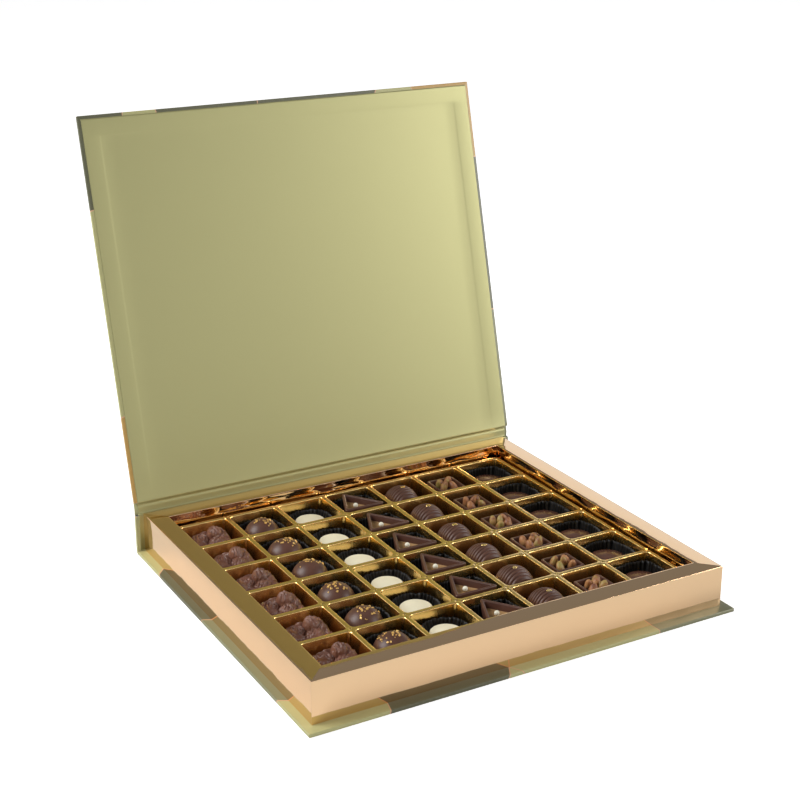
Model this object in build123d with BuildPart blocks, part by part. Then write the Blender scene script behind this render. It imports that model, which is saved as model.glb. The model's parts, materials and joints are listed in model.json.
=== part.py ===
"""A book-style chocolate box, lid open: a wrapped board case, a hollow-walled tray in gold foil,
a formed insert with seven columns of six pockets, paper cups and forty-two chocolates.

Millimetres. X runs along the spine, -Y is the front, +Z is up. The origin is the middle of the
tray's footprint, on the surface that the box stands on. The lid is drawn open, as it rests.
"""

import os
from math import acos, asin, cos, degrees, radians, sin, tan

from build123d import *

os.makedirs("parts", exist_ok=True)

# Papers and boards
paper = 0.2
board = 2.4
tray_board = 1.5
sheet_clearance = 0.2
turn_in = 15.0
liner_inset = 2.5
liner_relief = 0.1

# Tray: its width and depth follow from the insert and the play around it
tray_height = 30.0
rim_width = 14.5
side_play = 2.65
end_play = 3.65

# Case around the tray
side_overhang = 5.9
front_overhang = 8.5
lid_front_overhang = 7.5
hinge_gap = 4.5
hinge_slit = 0.1
open_angle = 104.8

# Magnets hidden in the front of the lid and of the tray
magnet_room = 0.55
magnet_thickness = 1.5
magnet_clearance = 0.1
magnet_spread_share = 0.6

# Insert and its pockets
columns = 7
rows = 6
pitch = 40.0
rib = 3.3
insert_margin = 2.0
insert_drop = 8.1
sheet = 0.5
pocket_draft = 3.5
skirt = 4.0

# What lies in a pocket has its size from the pocket's mouth and the room beside it. Paper cups
cup_paper = 0.3
cup_height = 16.6
cup_room = 1.05
cup_fit = 0.3
square_cup_room = 1.95
square_cup_corner = 6.0
square_cup_flare = 4.5

# Nut clusters, in the first column
cluster_room = 3.35
cluster_body_height = 12.0
cluster_height = 22.0
cluster_bump = 4.2

# Crumb-topped domes, in the second column
dome_room = 4.75
dome_height = 20.6
crumb = 1.5

# White discs, in the third column
white_room = 7.05
white_height = 11.2
white_bevel = 0.9
white_foot_inset = 0.6
white_dish = 0.3

# Triangular shells, in the fourth column
triangle_room = 1.05
triangle_front_room = 4.15
triangle_back_room = 2.25
triangle_apex_share = 0.277
triangle_height = 19.6
triangle_wall = 2.2
triangle_draft = 7.0
triangle_corner = 1.0
triangle_fill_drop = 5.5
pearl_radius = 1.9

# Ribbed barrels, in the fifth column
barrel_room = 6.75
barrel_end_room = 6.35
barrel_height = 21.8
barrel_crown = 4.3
barrel_waist = 1.7
barrel_ribs = 8
barrel_groove = 0.9
flake = 4.0
flake_thickness = 0.2

# Square shells with nuts, in the sixth column
square_room = 6.95
square_height = 16.0
square_wall = 1.7
square_draft = 5.0
square_corner = 1.2
flute_width = 1.3
flute_depth = 0.5
flute_rim = 2.4
flutes = 7
square_fill_drop = 4.5
kernel_length_share = 0.593
kernel_width_share = 0.381
kernel_lift = 3.1
kernel_lean = 22.0

# Milk discs, in the seventh column
milk_room = 3.75
milk_height = 12.0
milk_crown = 2.7
milk_bevel = 1.4

# Sizes that follow from the pockets
pocket = pitch - rib
insert_width = columns * pitch - rib + 2 * insert_margin + 2 * sheet
insert_depth = rows * pitch - rib + 2 * insert_margin + 2 * sheet
tray_width = insert_width + 2 * side_play + 2 * rim_width
tray_depth = insert_depth + 2 * end_play + 2 * rim_width
cup_rim_radius = pocket / 2 - cup_room
square_cup_half = pocket / 2 - square_cup_room
cluster_size = pocket - 2 * cluster_room
dome_radius = pocket / 2 - dome_room
white_radius = pocket / 2 - white_room
triangle_half = pocket / 2 - triangle_room
triangle_front = pocket / 2 - triangle_front_room
triangle_back = pocket / 2 - triangle_back_room
triangle_apex = triangle_apex_share * triangle_half
barrel_radius = pocket / 2 - barrel_room
barrel_length = pocket - 2 * barrel_end_room
square_side = pocket - 2 * square_room
square_mouth = square_side - 2 * square_wall
kernel_length = kernel_length_share * square_mouth
kernel_width = kernel_width_share * square_mouth
milk_radius = pocket / 2 - milk_room
magnet_diameter = rim_width - 2 * (paper + tray_board + magnet_room)

# Places worked out from the sizes above
case_width = tray_width + 2 * side_overhang
base_top = board + 2 * paper
rim_top = base_top + tray_height
case_stack = board + 3 * paper
spine_inner = tray_depth / 2
spine_outer = spine_inner + case_stack
hinge_y = spine_outer - paper
hinge_z = rim_top + sheet_clearance + case_stack - paper
lid_length = hinge_y + tray_depth / 2 + lid_front_overhang
opening_width = tray_width - 2 * rim_width
opening_depth = tray_depth - 2 * rim_width
floor_top = base_top + tray_board
insert_base = floor_top + paper
rib_top = rim_top - insert_drop
pocket_floor = insert_base + sheet
pocket_depth = rib_top - pocket_floor
cup_floor = pocket_floor + cup_paper


def cells(column, height):
    """The six places of one column of pockets, back to front, at one height."""
    x = (column - (columns - 1) / 2) * pitch
    return [Location((x, ((rows - 1) / 2 - row) * pitch, height)) for row in range(rows)]


def finish(piece, name):
    """Label a finished piece and write it to its own file."""
    piece.label = name
    export_step(piece, f"parts/{name}.step")


# Base of the case: a board with paper wrapped over its bottom, its edges and a border of its top
base_length = tray_depth + front_overhang
base_middle = (spine_inner - spine_outer + case_stack - front_overhang) / 2

with BuildPart() as base_board:
    with BuildSketch(Plane.XY.offset(paper)):
        with Locations((0, base_middle + paper / 2)):
            Rectangle(case_width - 2 * paper, base_length - paper)
    extrude(amount=board)
finish(base_board.part, "base_board")

with BuildPart() as base_wrap:
    with BuildSketch(Plane.XY):
        with Locations((0, base_middle)):
            Rectangle(case_width, base_length)
    extrude(amount=base_top)
    with BuildSketch(Plane.XY.offset(paper)):
        with Locations((0, base_middle + paper / 2)):
            Rectangle(case_width - 2 * paper, base_length - paper)
    extrude(amount=board, mode=Mode.SUBTRACT)
    with BuildSketch(Plane.XY.offset(paper + board)):
        with Locations((0, base_middle + turn_in / 2)):
            Rectangle(case_width - 2 * turn_in, base_length - turn_in)
    extrude(amount=paper, mode=Mode.SUBTRACT)
finish(base_wrap.part, "base_wrap")

# Spine of the case: it stands behind the tray on a rounded fold of the wrap
spine_foot = case_stack
spine_head = hinge_z - hinge_gap
spine_height = spine_head - spine_foot
spine_middle = (spine_foot + spine_head) / 2

with BuildPart() as spine_board:
    with BuildSketch(Plane.XZ.offset(-(spine_inner + 2 * paper))):
        with Locations((0, spine_middle)):
            Rectangle(case_width - 2 * paper, spine_height)
    extrude(amount=-board)
finish(spine_board.part, "spine_board")

with BuildPart() as spine_wrap:
    with BuildSketch(Plane.YZ.offset(-case_width / 2)):
        with BuildLine():
            outer = CenterArc((spine_inner, spine_foot), case_stack, -90, 90)
            inner = CenterArc((spine_inner, spine_foot), case_stack - paper, -90, 90)
            Line(outer @ 0, inner @ 0)
            Line(outer @ 1, inner @ 1)
        make_face()
    extrude(amount=case_width)
    with BuildSketch(Plane.XZ.offset(-spine_outer)):
        with Locations((0, (spine_foot + hinge_z) / 2)):
            Rectangle(case_width, hinge_z - spine_foot)
    extrude(amount=paper)
    with BuildSketch(Plane.YZ.offset(-case_width / 2)):
        with Locations((hinge_y, hinge_z)):
            Circle(paper)
    extrude(amount=case_width)
    with BuildSketch(Plane.XY.offset(spine_foot)):
        with Locations((0, spine_outer - (board + 2 * paper) / 2)):
            Rectangle(case_width, board + 2 * paper)
            Rectangle(case_width - 2 * paper, board + 2 * paper, mode=Mode.SUBTRACT)
        with Locations((0, spine_inner + 3 * paper / 2)):
            Rectangle(case_width, paper)
            Rectangle(case_width - 2 * turn_in, paper, mode=Mode.SUBTRACT)
    extrude(amount=spine_height)
finish(spine_wrap.part, "spine_wrap")

with BuildPart() as spine_liner:
    liner_width = case_width - 2 * liner_inset
    with BuildSketch(Plane.YZ.offset(-liner_width / 2)):
        with BuildLine():
            Polyline(
                (spine_inner, spine_foot),
                (spine_inner, spine_head + paper),
                (hinge_y - paper, spine_head + paper),
                (hinge_y - paper, hinge_z - paper),
                (hinge_y, hinge_z - paper),
                (hinge_y, spine_head),
                (spine_inner + paper, spine_head),
                (spine_inner + paper, spine_foot),
                close=True,
            )
        make_face()
    extrude(amount=liner_width)
finish(spine_liner.part, "spine_liner")

# Lid of the case, on the plane of its outer face: local Y runs to the free edge, local Z inwards
lean = radians(180 - open_angle)
hinge_plane = Plane(
    origin=(0, hinge_y, hinge_z), x_dir=(1, 0, 0), z_dir=(0, -sin(lean), cos(lean))
)
lid_plane = hinge_plane.offset(-paper)
strip_start = paper + hinge_slit
lid_board_length = lid_length - hinge_gap
lid_board_middle = hinge_gap + lid_board_length / 2
magnet_x = magnet_spread_share * tray_width / 2
magnet_reach = hinge_y + tray_depth / 2 - rim_width / 2
magnet_places = [(-magnet_x, magnet_reach), (magnet_x, magnet_reach)]

with BuildPart() as lid_board:
    with BuildSketch(lid_plane.offset(paper)):
        with Locations((0, lid_board_middle - paper / 2)):
            Rectangle(case_width - 2 * paper, lid_board_length - paper)
    extrude(amount=board)
    with BuildSketch(lid_plane.offset(paper + board)):
        with Locations(*magnet_places):
            Circle(magnet_diameter / 2 + magnet_clearance)
    extrude(amount=-(magnet_thickness + magnet_clearance), mode=Mode.SUBTRACT)
finish(lid_board.part, "lid_board")

with BuildPart() as lid_wrap:
    with BuildSketch(lid_plane):
        with Locations((0, (strip_start + lid_length) / 2)):
            Rectangle(case_width, lid_length - strip_start)
    extrude(amount=paper)
    with BuildSketch(lid_plane.offset(paper)):
        with Locations((0, lid_board_middle)):
            Rectangle(case_width, lid_board_length)
        with Locations((0, lid_board_middle - paper / 2)):
            Rectangle(case_width - 2 * paper, lid_board_length - paper, mode=Mode.SUBTRACT)
    extrude(amount=board)
    with BuildSketch(lid_plane.offset(paper + board)):
        with Locations((0, lid_board_middle)):
            Rectangle(case_width, lid_board_length)
        with Locations((0, lid_board_middle - turn_in / 2)):
            Rectangle(case_width - 2 * turn_in, lid_board_length - turn_in, mode=Mode.SUBTRACT)
    extrude(amount=paper)
finish(lid_wrap.part, "lid_wrap")

with BuildPart() as lid_liner:
    liner_top = lid_length - liner_inset
    with BuildSketch(lid_plane.offset(board + 2 * paper)):
        with Locations((0, (hinge_gap - paper + liner_top) / 2)):
            Rectangle(liner_width, liner_top - hinge_gap + paper)
    extrude(amount=paper)
    with BuildSketch(lid_plane.offset(paper + board)):
        with Locations((0, lid_board_middle - turn_in / 2)):
            Rectangle(case_width - 2 * turn_in, lid_board_length - turn_in)
    extrude(amount=paper + liner_relief)
    with BuildSketch(lid_plane.offset(case_stack)):
        with Locations((0, lid_board_middle - turn_in / 2)):
            Rectangle(case_width - 2 * turn_in, lid_board_length - turn_in)
    extrude(amount=-(paper - liner_relief), mode=Mode.SUBTRACT)
    with BuildSketch(lid_plane.offset(paper)):
        with Locations((0, (strip_start + hinge_gap) / 2)):
            Rectangle(liner_width, hinge_gap - strip_start)
    extrude(amount=paper)
    with BuildSketch(lid_plane.offset(paper)):
        with Locations((0, hinge_gap - paper / 2)):
            Rectangle(liner_width, paper)
    extrude(amount=board + paper)
finish(lid_liner.part, "lid_liner")

with BuildPart() as lid_magnets:
    with BuildSketch(lid_plane.offset(paper + board)):
        with Locations(*magnet_places):
            Circle(magnet_diameter / 2)
    extrude(amount=-magnet_thickness)
finish(lid_magnets.part, "lid_magnets")

# Tray: a floor board, four hollow mitred walls of thin board and a skin of foil
core_width = tray_width - 2 * paper
core_depth = tray_depth - 2 * paper
rail_width = rim_width - 2 * paper
rail_height = tray_height - tray_board - paper

with BuildPart() as tray_floor:
    with BuildSketch(Plane.XY.offset(base_top)):
        Rectangle(core_width, core_depth)
    extrude(amount=tray_board)
finish(tray_floor.part, "tray_floor")

with BuildPart() as floor_lining:
    with BuildSketch(Plane.XY.offset(floor_top)):
        Rectangle(opening_width, opening_depth)
    extrude(amount=paper)
finish(floor_lining.part, "floor_lining")


def mitred_face(length, out, near, far):
    """A strip along X between two depths of a wall, its ends on the mitre lines."""
    Polygon(
        (-length / 2 + near, -out + near),
        (length / 2 - near, -out + near),
        (length / 2 - far, -out + far),
        (-length / 2 + far, -out + far),
        align=None,
    )


walls = {
    "tray_front_wall": (core_width, core_depth / 2, 0),
    "tray_right_wall": (core_depth, core_width / 2, 90),
    "tray_back_wall": (core_width, core_depth / 2, 180),
    "tray_left_wall": (core_depth, core_width / 2, 270),
}
for name, (length, out, turn) in walls.items():
    wall_plane = Plane.XY.offset(floor_top).rotated((0, 0, turn))
    with BuildPart() as tray_wall:
        with BuildSketch(wall_plane):
            mitred_face(length, out, 0, rail_width)
        extrude(amount=rail_height)
        with BuildSketch(wall_plane):
            mitred_face(length, out, tray_board, rail_width - tray_board)
        extrude(amount=rail_height - tray_board, mode=Mode.SUBTRACT)
    finish(tray_wall.part, name)

with BuildPart() as tray_foil:
    with BuildSketch(Plane.XY.offset(base_top)):
        Rectangle(tray_width, tray_depth)
        Rectangle(opening_width, opening_depth, mode=Mode.SUBTRACT)
    extrude(amount=tray_height)
    with BuildSketch(Plane.XY.offset(base_top)):
        Rectangle(core_width, core_depth)
    extrude(amount=tray_board, mode=Mode.SUBTRACT)
    with BuildSketch(Plane.XY.offset(floor_top)):
        Rectangle(core_width, core_depth)
        Rectangle(core_width - 2 * rail_width, core_depth - 2 * rail_width, mode=Mode.SUBTRACT)
    extrude(amount=rail_height, mode=Mode.SUBTRACT)
finish(tray_foil.part, "tray_foil")

with BuildPart() as tray_magnets:
    with BuildSketch(Plane.XY.offset(rim_top - paper - tray_board)):
        with Locations(*[(x, rim_width / 2 - tray_depth / 2) for x in (-magnet_x, magnet_x)]):
            Circle(magnet_diameter / 2 - magnet_clearance)
    extrude(amount=-magnet_thickness)
finish(tray_magnets.part, "tray_magnets")

# Insert: one formed sheet. Its ribs are channels, long ones front to back and short ones between
# them, and each pocket has a floor under the feet of its drafted walls
rib_spread = pocket_depth * tan(radians(pocket_draft))
outer_rib = insert_margin + sheet


def rib_block(near, far):
    """The section of a rib's outside, from its near edge to its far edge at the top."""
    return [
        (near - rib_spread, pocket_floor), (near, rib_top), (far, rib_top),
        (far + rib_spread, pocket_floor),
    ]


def rib_hollow(near, far):
    """The section of the hollow under a rib."""
    drop = sheet * tan(radians(pocket_draft))
    return [
        (near + sheet - rib_spread, pocket_floor), (near + sheet - drop, rib_top - sheet),
        (far - sheet + drop, rib_top - sheet), (far - sheet + rib_spread, pocket_floor),
    ]


def outer_block(inner_edge):
    """The section of the outermost rib's outside, on the right: a drafted wall and a skirt."""
    outer_edge = inner_edge + outer_rib
    return [
        (inner_edge - rib_spread, pocket_floor), (inner_edge, rib_top), (outer_edge, rib_top),
        (outer_edge, rib_top - skirt), (outer_edge - sheet, rib_top - skirt),
        (inner_edge + sheet - rib_spread, pocket_floor),
    ]


def outer_hollow(inner_edge):
    """The section of the hollow between the outermost wall and its skirt."""
    drop = sheet * tan(radians(pocket_draft))
    skirt_side = inner_edge + outer_rib - sheet
    return [
        (skirt_side, rib_top - skirt), (skirt_side, rib_top - sheet),
        (inner_edge + sheet - drop, rib_top - sheet),
        (inner_edge + sheet - rib_spread, pocket_floor),
    ]


def mirrored(points):
    """A section on the other side of the middle plane."""
    return [(-across, up) for across, up in points]


def rib_sections(count):
    """Outside and hollow of each rib across one direction with that many pockets."""
    outer_place = (count * pitch - rib) / 2
    sections = [(outer_block(outer_place), outer_hollow(outer_place))]
    sections.append((mirrored(outer_block(outer_place)), mirrored(outer_hollow(outer_place))))
    for number in range(1, count):
        near = (number - count / 2) * pitch - rib / 2
        sections.append((rib_block(near, near + rib), rib_hollow(near, near + rib)))
    return sections


with BuildPart() as long_ribs:
    with BuildSketch(Plane.XZ.offset(-insert_depth / 2)):
        for block, hollow in rib_sections(columns):
            Polygon(*block, align=None)
            Polygon(*hollow, align=None, mode=Mode.SUBTRACT)
    extrude(amount=insert_depth)

with BuildPart() as long_blocks:
    side_edge = insert_width / 2
    side_block = [(side_edge, pocket_floor), *outer_block(side_edge - outer_rib)[:3]]
    with BuildSketch(Plane.XZ.offset(-insert_depth / 2)):
        Polygon(*side_block, align=None)
        Polygon(*mirrored(side_block), align=None)
        for block, hollow in rib_sections(columns):
            Polygon(*block, align=None)
    extrude(amount=insert_depth)

with BuildPart() as cross_ribs:
    cross_reach = (columns * pitch - rib) / 2
    with BuildSketch(Plane.YZ.offset(-cross_reach)):
        for block, hollow in rib_sections(rows):
            Polygon(*block, align=None)
            Polygon(*hollow, align=None, mode=Mode.SUBTRACT)
    extrude(amount=2 * cross_reach)
    add(long_blocks.part, mode=Mode.SUBTRACT)

with BuildPart() as pocket_floors:
    floor_side = pocket - 2 * rib_spread + 2 * sheet
    with BuildSketch(Plane.XY.offset(insert_base)):
        with GridLocations(pitch, pitch, columns, rows):
            Rectangle(floor_side, floor_side)
    extrude(amount=sheet)

insert_pieces = [*long_ribs.part.solids(), *cross_ribs.part.solids()]
insert_pieces += pocket_floors.part.solids()
finish(Compound(children=insert_pieces), "insert_tray")


# Paper cups: round ones flare from their floor, square ones are pressed out by their pockets
def round_cups(name, column, piece_radius):
    """Six round cups that hold pieces of one radius."""
    foot = piece_radius + cup_fit + cup_paper
    with BuildPart() as cup:
        with BuildSketch(Plane.XZ):
            with BuildLine():
                Polyline(
                    (0, 0),
                    (foot, 0),
                    (cup_rim_radius, cup_height),
                    (cup_rim_radius - cup_paper, cup_height),
                    (foot - cup_paper, cup_paper),
                    (0, cup_paper),
                    close=True,
                )
            make_face()
        revolve(axis=Axis.Z)
    with BuildPart() as cups:
        with Locations(*cells(column, pocket_floor)):
            add(cup.part)
    finish(cups.part, name)


round_cups("dome_cups", 1, dome_radius)
round_cups("white_disc_cups", 2, white_radius)
round_cups("milk_disc_cups", 6, milk_radius)

with BuildPart() as triangle_cups:
    with BuildSketch(Plane.XY.offset(pocket_floor)):
        with Locations(*cells(3, 0)):
            RectangleRounded(2 * square_cup_half, 2 * square_cup_half, square_cup_corner)
    extrude(amount=cup_height, taper=-square_cup_flare)
    with BuildSketch(Plane.XY.offset(pocket_floor + cup_paper)):
        with Locations(*cells(3, 0)):
            inner_half = square_cup_half - cup_paper
            RectangleRounded(2 * inner_half, 2 * inner_half, square_cup_corner - cup_paper)
    extrude(amount=cup_height, taper=-square_cup_flare, mode=Mode.SUBTRACT)
finish(triangle_cups.part, "triangle_cups")

# Nut clusters: a low rough body with bumps, and a taller heap at its back right corner
bump_shares = [
    (-0.36, 0.30, 0.62), (-0.38, 0.02, 0.55), (-0.34, -0.28, 0.52), (-0.10, -0.36, 0.50),
    (0.18, -0.36, 0.52), (0.37, -0.22, 0.50), (0.38, 0.06, 0.60), (-0.14, 0.34, 0.66),
    (-0.16, 0.08, 0.66), (0.04, -0.14, 0.60), (0.14, 0.33, 0.86), (0.32, 0.30, 0.72),
    (0.06, 0.16, 0.80), (0.24, 0.10, 0.84), (-0.16, -0.16, 0.58), (0.20, -0.12, 0.62),
]
with BuildPart() as cluster:
    with BuildSketch(Plane.XY):
        RectangleRounded(0.78 * cluster_size, 0.78 * cluster_size, cluster_bump)
    extrude(amount=cluster_body_height)
    for across, along, up in bump_shares:
        bump_z = up * cluster_height - cluster_bump
        with Locations((across * cluster_size, along * cluster_size, bump_z)):
            Sphere(cluster_bump)
    with Locations((0.17 * cluster_size, 0.20 * cluster_size, cluster_height - cluster_bump)):
        Sphere(cluster_bump)
    with BuildSketch(Plane.XY):
        Rectangle(2 * cluster_size, 2 * cluster_size)
    extrude(amount=-cluster_size, mode=Mode.SUBTRACT)

with BuildPart() as nut_clusters:
    with Locations(*cells(0, pocket_floor)):
        add(cluster.part)
finish(nut_clusters.part, "nut_clusters")

# Domes and the crumbs on them
dome_foot = dome_height - dome_radius
with BuildPart() as dome:
    with BuildSketch(Plane.XZ):
        with BuildLine():
            Polyline((0, dome_height), (0, 0), (dome_radius, 0), (dome_radius, dome_foot))
            CenterArc((0, dome_foot), dome_radius, 0, 90)
        make_face()
    revolve(axis=Axis.Z)

with BuildPart() as crumb_domes:
    with Locations(*cells(1, cup_floor)):
        add(dome.part)
finish(crumb_domes.part, "crumb_domes")

# Each crumb is placed by its turn about the dome and by its tilt from the top, in degrees
crumb_angles = [(20, 8), (95, 17), (150, 12), (215, 20), (280, 14), (335, 24), (60, 30), (190, 33)]
with BuildPart() as crumbs:
    for number, (turn, tilt) in enumerate(crumb_angles):
        ring = dome_radius * sin(radians(tilt))
        height = dome_foot + dome_radius * cos(radians(tilt))
        size = crumb * (1.15 if number % 3 == 0 else 0.85)
        with Locations((ring * cos(radians(turn)), ring * sin(radians(turn)), height)):
            Sphere(size)
    add(dome.part, mode=Mode.SUBTRACT)

with BuildPart() as dome_crumbs:
    with Locations(*cells(1, cup_floor)):
        add(crumbs.part)
finish(dome_crumbs.part, "dome_crumbs")

# White discs: low, with a bevelled edge and a faint dish inside it
with BuildPart() as white_disc:
    with BuildSketch(Plane.XZ):
        with BuildLine():
            Polyline(
                (0, 0),
                (white_radius - white_foot_inset, 0),
                (white_radius, white_height - white_bevel),
                (white_radius - white_bevel, white_height),
                (white_radius - 2 * white_bevel, white_height),
                (white_radius - 3 * white_bevel, white_height - white_dish),
                (0, white_height - white_dish),
                close=True,
            )
        make_face()
    revolve(axis=Axis.Z)

with BuildPart() as white_discs:
    with Locations(*cells(2, cup_floor)):
        add(white_disc.part)
finish(white_discs.part, "white_discs")

# Triangular shells, their filling and the pearl on it
triangle_points = [
    (-triangle_half, -triangle_front),
    (triangle_half, -triangle_front),
    (-triangle_apex, triangle_back),
]


def rounded_triangle(inset, corner):
    """The shell's outline, moved inwards by a wall."""
    with BuildSketch() as outline:
        Polygon(*triangle_points, align=None)
        if inset:
            offset(amount=-inset, kind=Kind.INTERSECTION)
        fillet(outline.vertices(), corner)
    return outline.sketch


fill_inset = triangle_wall + triangle_fill_drop * tan(radians(triangle_draft))
triangle_outline = rounded_triangle(0, triangle_corner)
triangle_mouth = rounded_triangle(triangle_wall, triangle_corner / 2)
triangle_level = rounded_triangle(fill_inset, triangle_corner / 2)
triangle_fill_depth = triangle_height - triangle_wall
with BuildPart() as triangle:
    with BuildSketch(Plane.XY.offset(triangle_height)):
        add(triangle_outline)
    extrude(amount=-triangle_height, taper=triangle_draft)
    with BuildSketch(Plane.XY.offset(triangle_height)):
        add(triangle_mouth)
    extrude(amount=-triangle_fill_depth, taper=triangle_draft, mode=Mode.SUBTRACT)

with BuildPart() as triangle_fill:
    with BuildSketch(Plane.XY.offset(triangle_height - triangle_fill_drop)):
        add(triangle_level)
    extrude(amount=-(triangle_fill_depth - triangle_fill_drop), taper=triangle_draft)
    add(triangle.part, mode=Mode.SUBTRACT)

pearl_x = -triangle_apex / 2
pearl_z = triangle_height - triangle_fill_drop + pearl_radius
with BuildPart() as pearl:
    with Locations((pearl_x, -triangle_apex / 2, pearl_z)):
        Sphere(pearl_radius)

for name, one in (
    ("triangle_shells", triangle.part),
    ("caramel_fillings", triangle_fill.part),
    ("sugar_pearls", pearl.part),
):
    with BuildPart() as group:
        with Locations(*cells(3, cup_floor)):
            add(one)
    finish(group.part, name)


# Ribbed barrels: an arched loaf with rings across it, lower and narrower towards its ends, and a
# gold flake on its top
def arch(radius, height):
    """An arched outline that stands on the X axis."""
    spring = height - radius
    with BuildSketch() as outline:
        with BuildLine():
            Polyline((-radius, spring), (-radius, 0), (radius, 0), (radius, spring))
            CenterArc((0, spring), radius, 0, 180)
        make_face()
    return outline.sketch


rib_step = barrel_length / barrel_ribs
with BuildPart() as barrel:
    for number in range(barrel_ribs):
        start = number * rib_step - barrel_length / 2
        off_share = (start + rib_step / 2) / (barrel_length / 2)
        ring_radius = barrel_radius - barrel_waist * off_share**2
        ring_height = barrel_height - barrel_crown * off_share**2
        with BuildSketch(Plane.XZ.offset(start)):
            add(arch(ring_radius - barrel_groove, ring_height - barrel_groove))
        extrude(amount=rib_step)
        with BuildSketch(Plane.XZ.offset(start + 0.2 * rib_step)):
            add(arch(ring_radius, ring_height))
        extrude(amount=0.6 * rib_step)

with BuildPart() as ribbed_barrels:
    with Locations(*cells(4, pocket_floor)):
        add(barrel.part)
finish(ribbed_barrels.part, "ribbed_barrels")

flake_shares = [(-0.5, -0.3), (0.1, -0.5), (0.5, -0.1), (0.3, 0.4), (-0.4, 0.35)]
middle_rings = barrel_height - barrel_crown / barrel_ribs**2
with BuildPart() as gold_flakes:
    with BuildSketch(Plane.XY.offset(pocket_floor + middle_rings)):
        with Locations(*cells(4, 0)):
            Polygon(*[(x * flake, y * flake) for x, y in flake_shares], align=None)
    extrude(amount=flake_thickness)
finish(gold_flakes.part, "gold_flakes")

# Square shells: fluted thin walls around a dark filling, with nuts standing on it
with BuildPart() as square_shell:
    with BuildSketch(Plane.XY.offset(square_height)):
        RectangleRounded(square_side, square_side, square_corner)
    extrude(amount=-square_height, taper=square_draft)
    with BuildSketch(Plane.XY.offset(square_height)):
        RectangleRounded(square_mouth, square_mouth, square_corner / 2)
    extrude(amount=-(square_height - square_wall), taper=square_draft, mode=Mode.SUBTRACT)
    flute_top = square_height - flute_rim
    flute_middle = (flute_top - flute_depth) / 2
    flute_reach = square_side / 2 - (square_height - flute_middle) * tan(radians(square_draft))
    for turn in (0, 90, 180, 270):
        across, along = cos(radians(turn)), sin(radians(turn))
        side_plane = Plane(
            origin=(across * flute_reach, along * flute_reach, flute_middle),
            x_dir=(-along, across, 0),
            z_dir=(
                across * cos(radians(square_draft)), along * cos(radians(square_draft)),
                -sin(radians(square_draft)),
            ),
        )
        with BuildSketch(side_plane):
            with GridLocations(square_mouth / (flutes + 1), 0, flutes, 1):
                Rectangle(flute_width, flute_top + flute_depth)
        extrude(amount=flute_depth, both=True, mode=Mode.SUBTRACT)

square_fill_inset = square_wall + square_fill_drop * tan(radians(square_draft))
with BuildPart() as square_fill:
    with BuildSketch(Plane.XY.offset(square_height - square_fill_drop)):
        fill_side = square_side - 2 * square_fill_inset
        RectangleRounded(fill_side, fill_side, square_corner / 2)
    extrude(
        amount=-(square_height - square_wall - square_fill_drop), taper=square_draft
    )
    add(square_shell.part, mode=Mode.SUBTRACT)

for name, one in (("square_shells", square_shell.part), ("dark_fillings", square_fill.part)):
    with BuildPart() as group:
        with Locations(*cells(5, pocket_floor)):
            add(one)
    finish(group.part, name)

# Nut kernels, leaning against each other in the shells
with BuildPart() as kernel:
    Sphere(kernel_width / 2)
    scale(by=(1, 1, kernel_length / kernel_width))

def standing_kernels(places):
    """Kernels of one shell: each is placed by shares of its side and by the turn of its lean."""
    fill_top = square_height - square_fill_drop
    with BuildPart() as heap:
        for across, along, turn in places:
            place = (across * square_side, along * square_side, fill_top + kernel_lift)
            with Locations(Location(place, (kernel_lean, 0, turn))):
                add(kernel.part)
        with BuildSketch(Plane.XY.offset(fill_top)):
            Rectangle(square_side, square_side)
        extrude(amount=-square_height, mode=Mode.SUBTRACT)
    return heap.part


green_heap = standing_kernels([(-0.19, 0.19, 0), (0.19, -0.19, 180)])
brown_heap = standing_kernels([(-0.19, -0.19, 90), (0.19, 0.19, 270)])
for name, one in (("pistachio_kernels", green_heap), ("roasted_kernels", brown_heap)):
    with BuildPart() as group:
        with Locations(*cells(5, pocket_floor)):
            add(one)
    finish(group.part, name)

# Milk discs: wide and low, with a soft edge and a crowned top
edge_height = milk_height - milk_crown
crown_reach = milk_radius - milk_bevel
crown_radius = (crown_reach**2 + milk_crown**2) / (2 * milk_crown)
crown_start = degrees(acos(crown_reach / crown_radius))
crown_sweep = degrees(asin(crown_reach / crown_radius))
with BuildPart() as milk_disc:
    with BuildSketch(Plane.XZ):
        with BuildLine():
            Polyline(
                (0, milk_height),
                (0, 0),
                (crown_reach, 0),
                (milk_radius, milk_bevel),
                (milk_radius, edge_height - milk_bevel),
                (crown_reach, edge_height),
            )
            CenterArc((0, milk_height - crown_radius), crown_radius, crown_start, crown_sweep)
        make_face()
    revolve(axis=Axis.Z)

with BuildPart() as milk_discs:
    with Locations(*cells(6, cup_floor)):
        add(milk_disc.part)
finish(milk_discs.part, "milk_discs")
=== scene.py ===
"""Looks of a book-style chocolate box with its lid open.

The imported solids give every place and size. The papers, the foil, the formed insert, the pleated
cups and the chocolates are rebuilt here in detail, and each piece rides on the body it belongs to.
Lengths are millimetres until a piece is built. The settings, the finishes and the stage are in
metres.
"""

import json
from math import cos, exp, hypot, log, pi, radians, sin, tan
from random import Random

import bmesh
import bpy
from bpy.props import FloatProperty, FloatVectorProperty, IntProperty, PointerProperty
from mathutils import Matrix, Vector, noise


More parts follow.
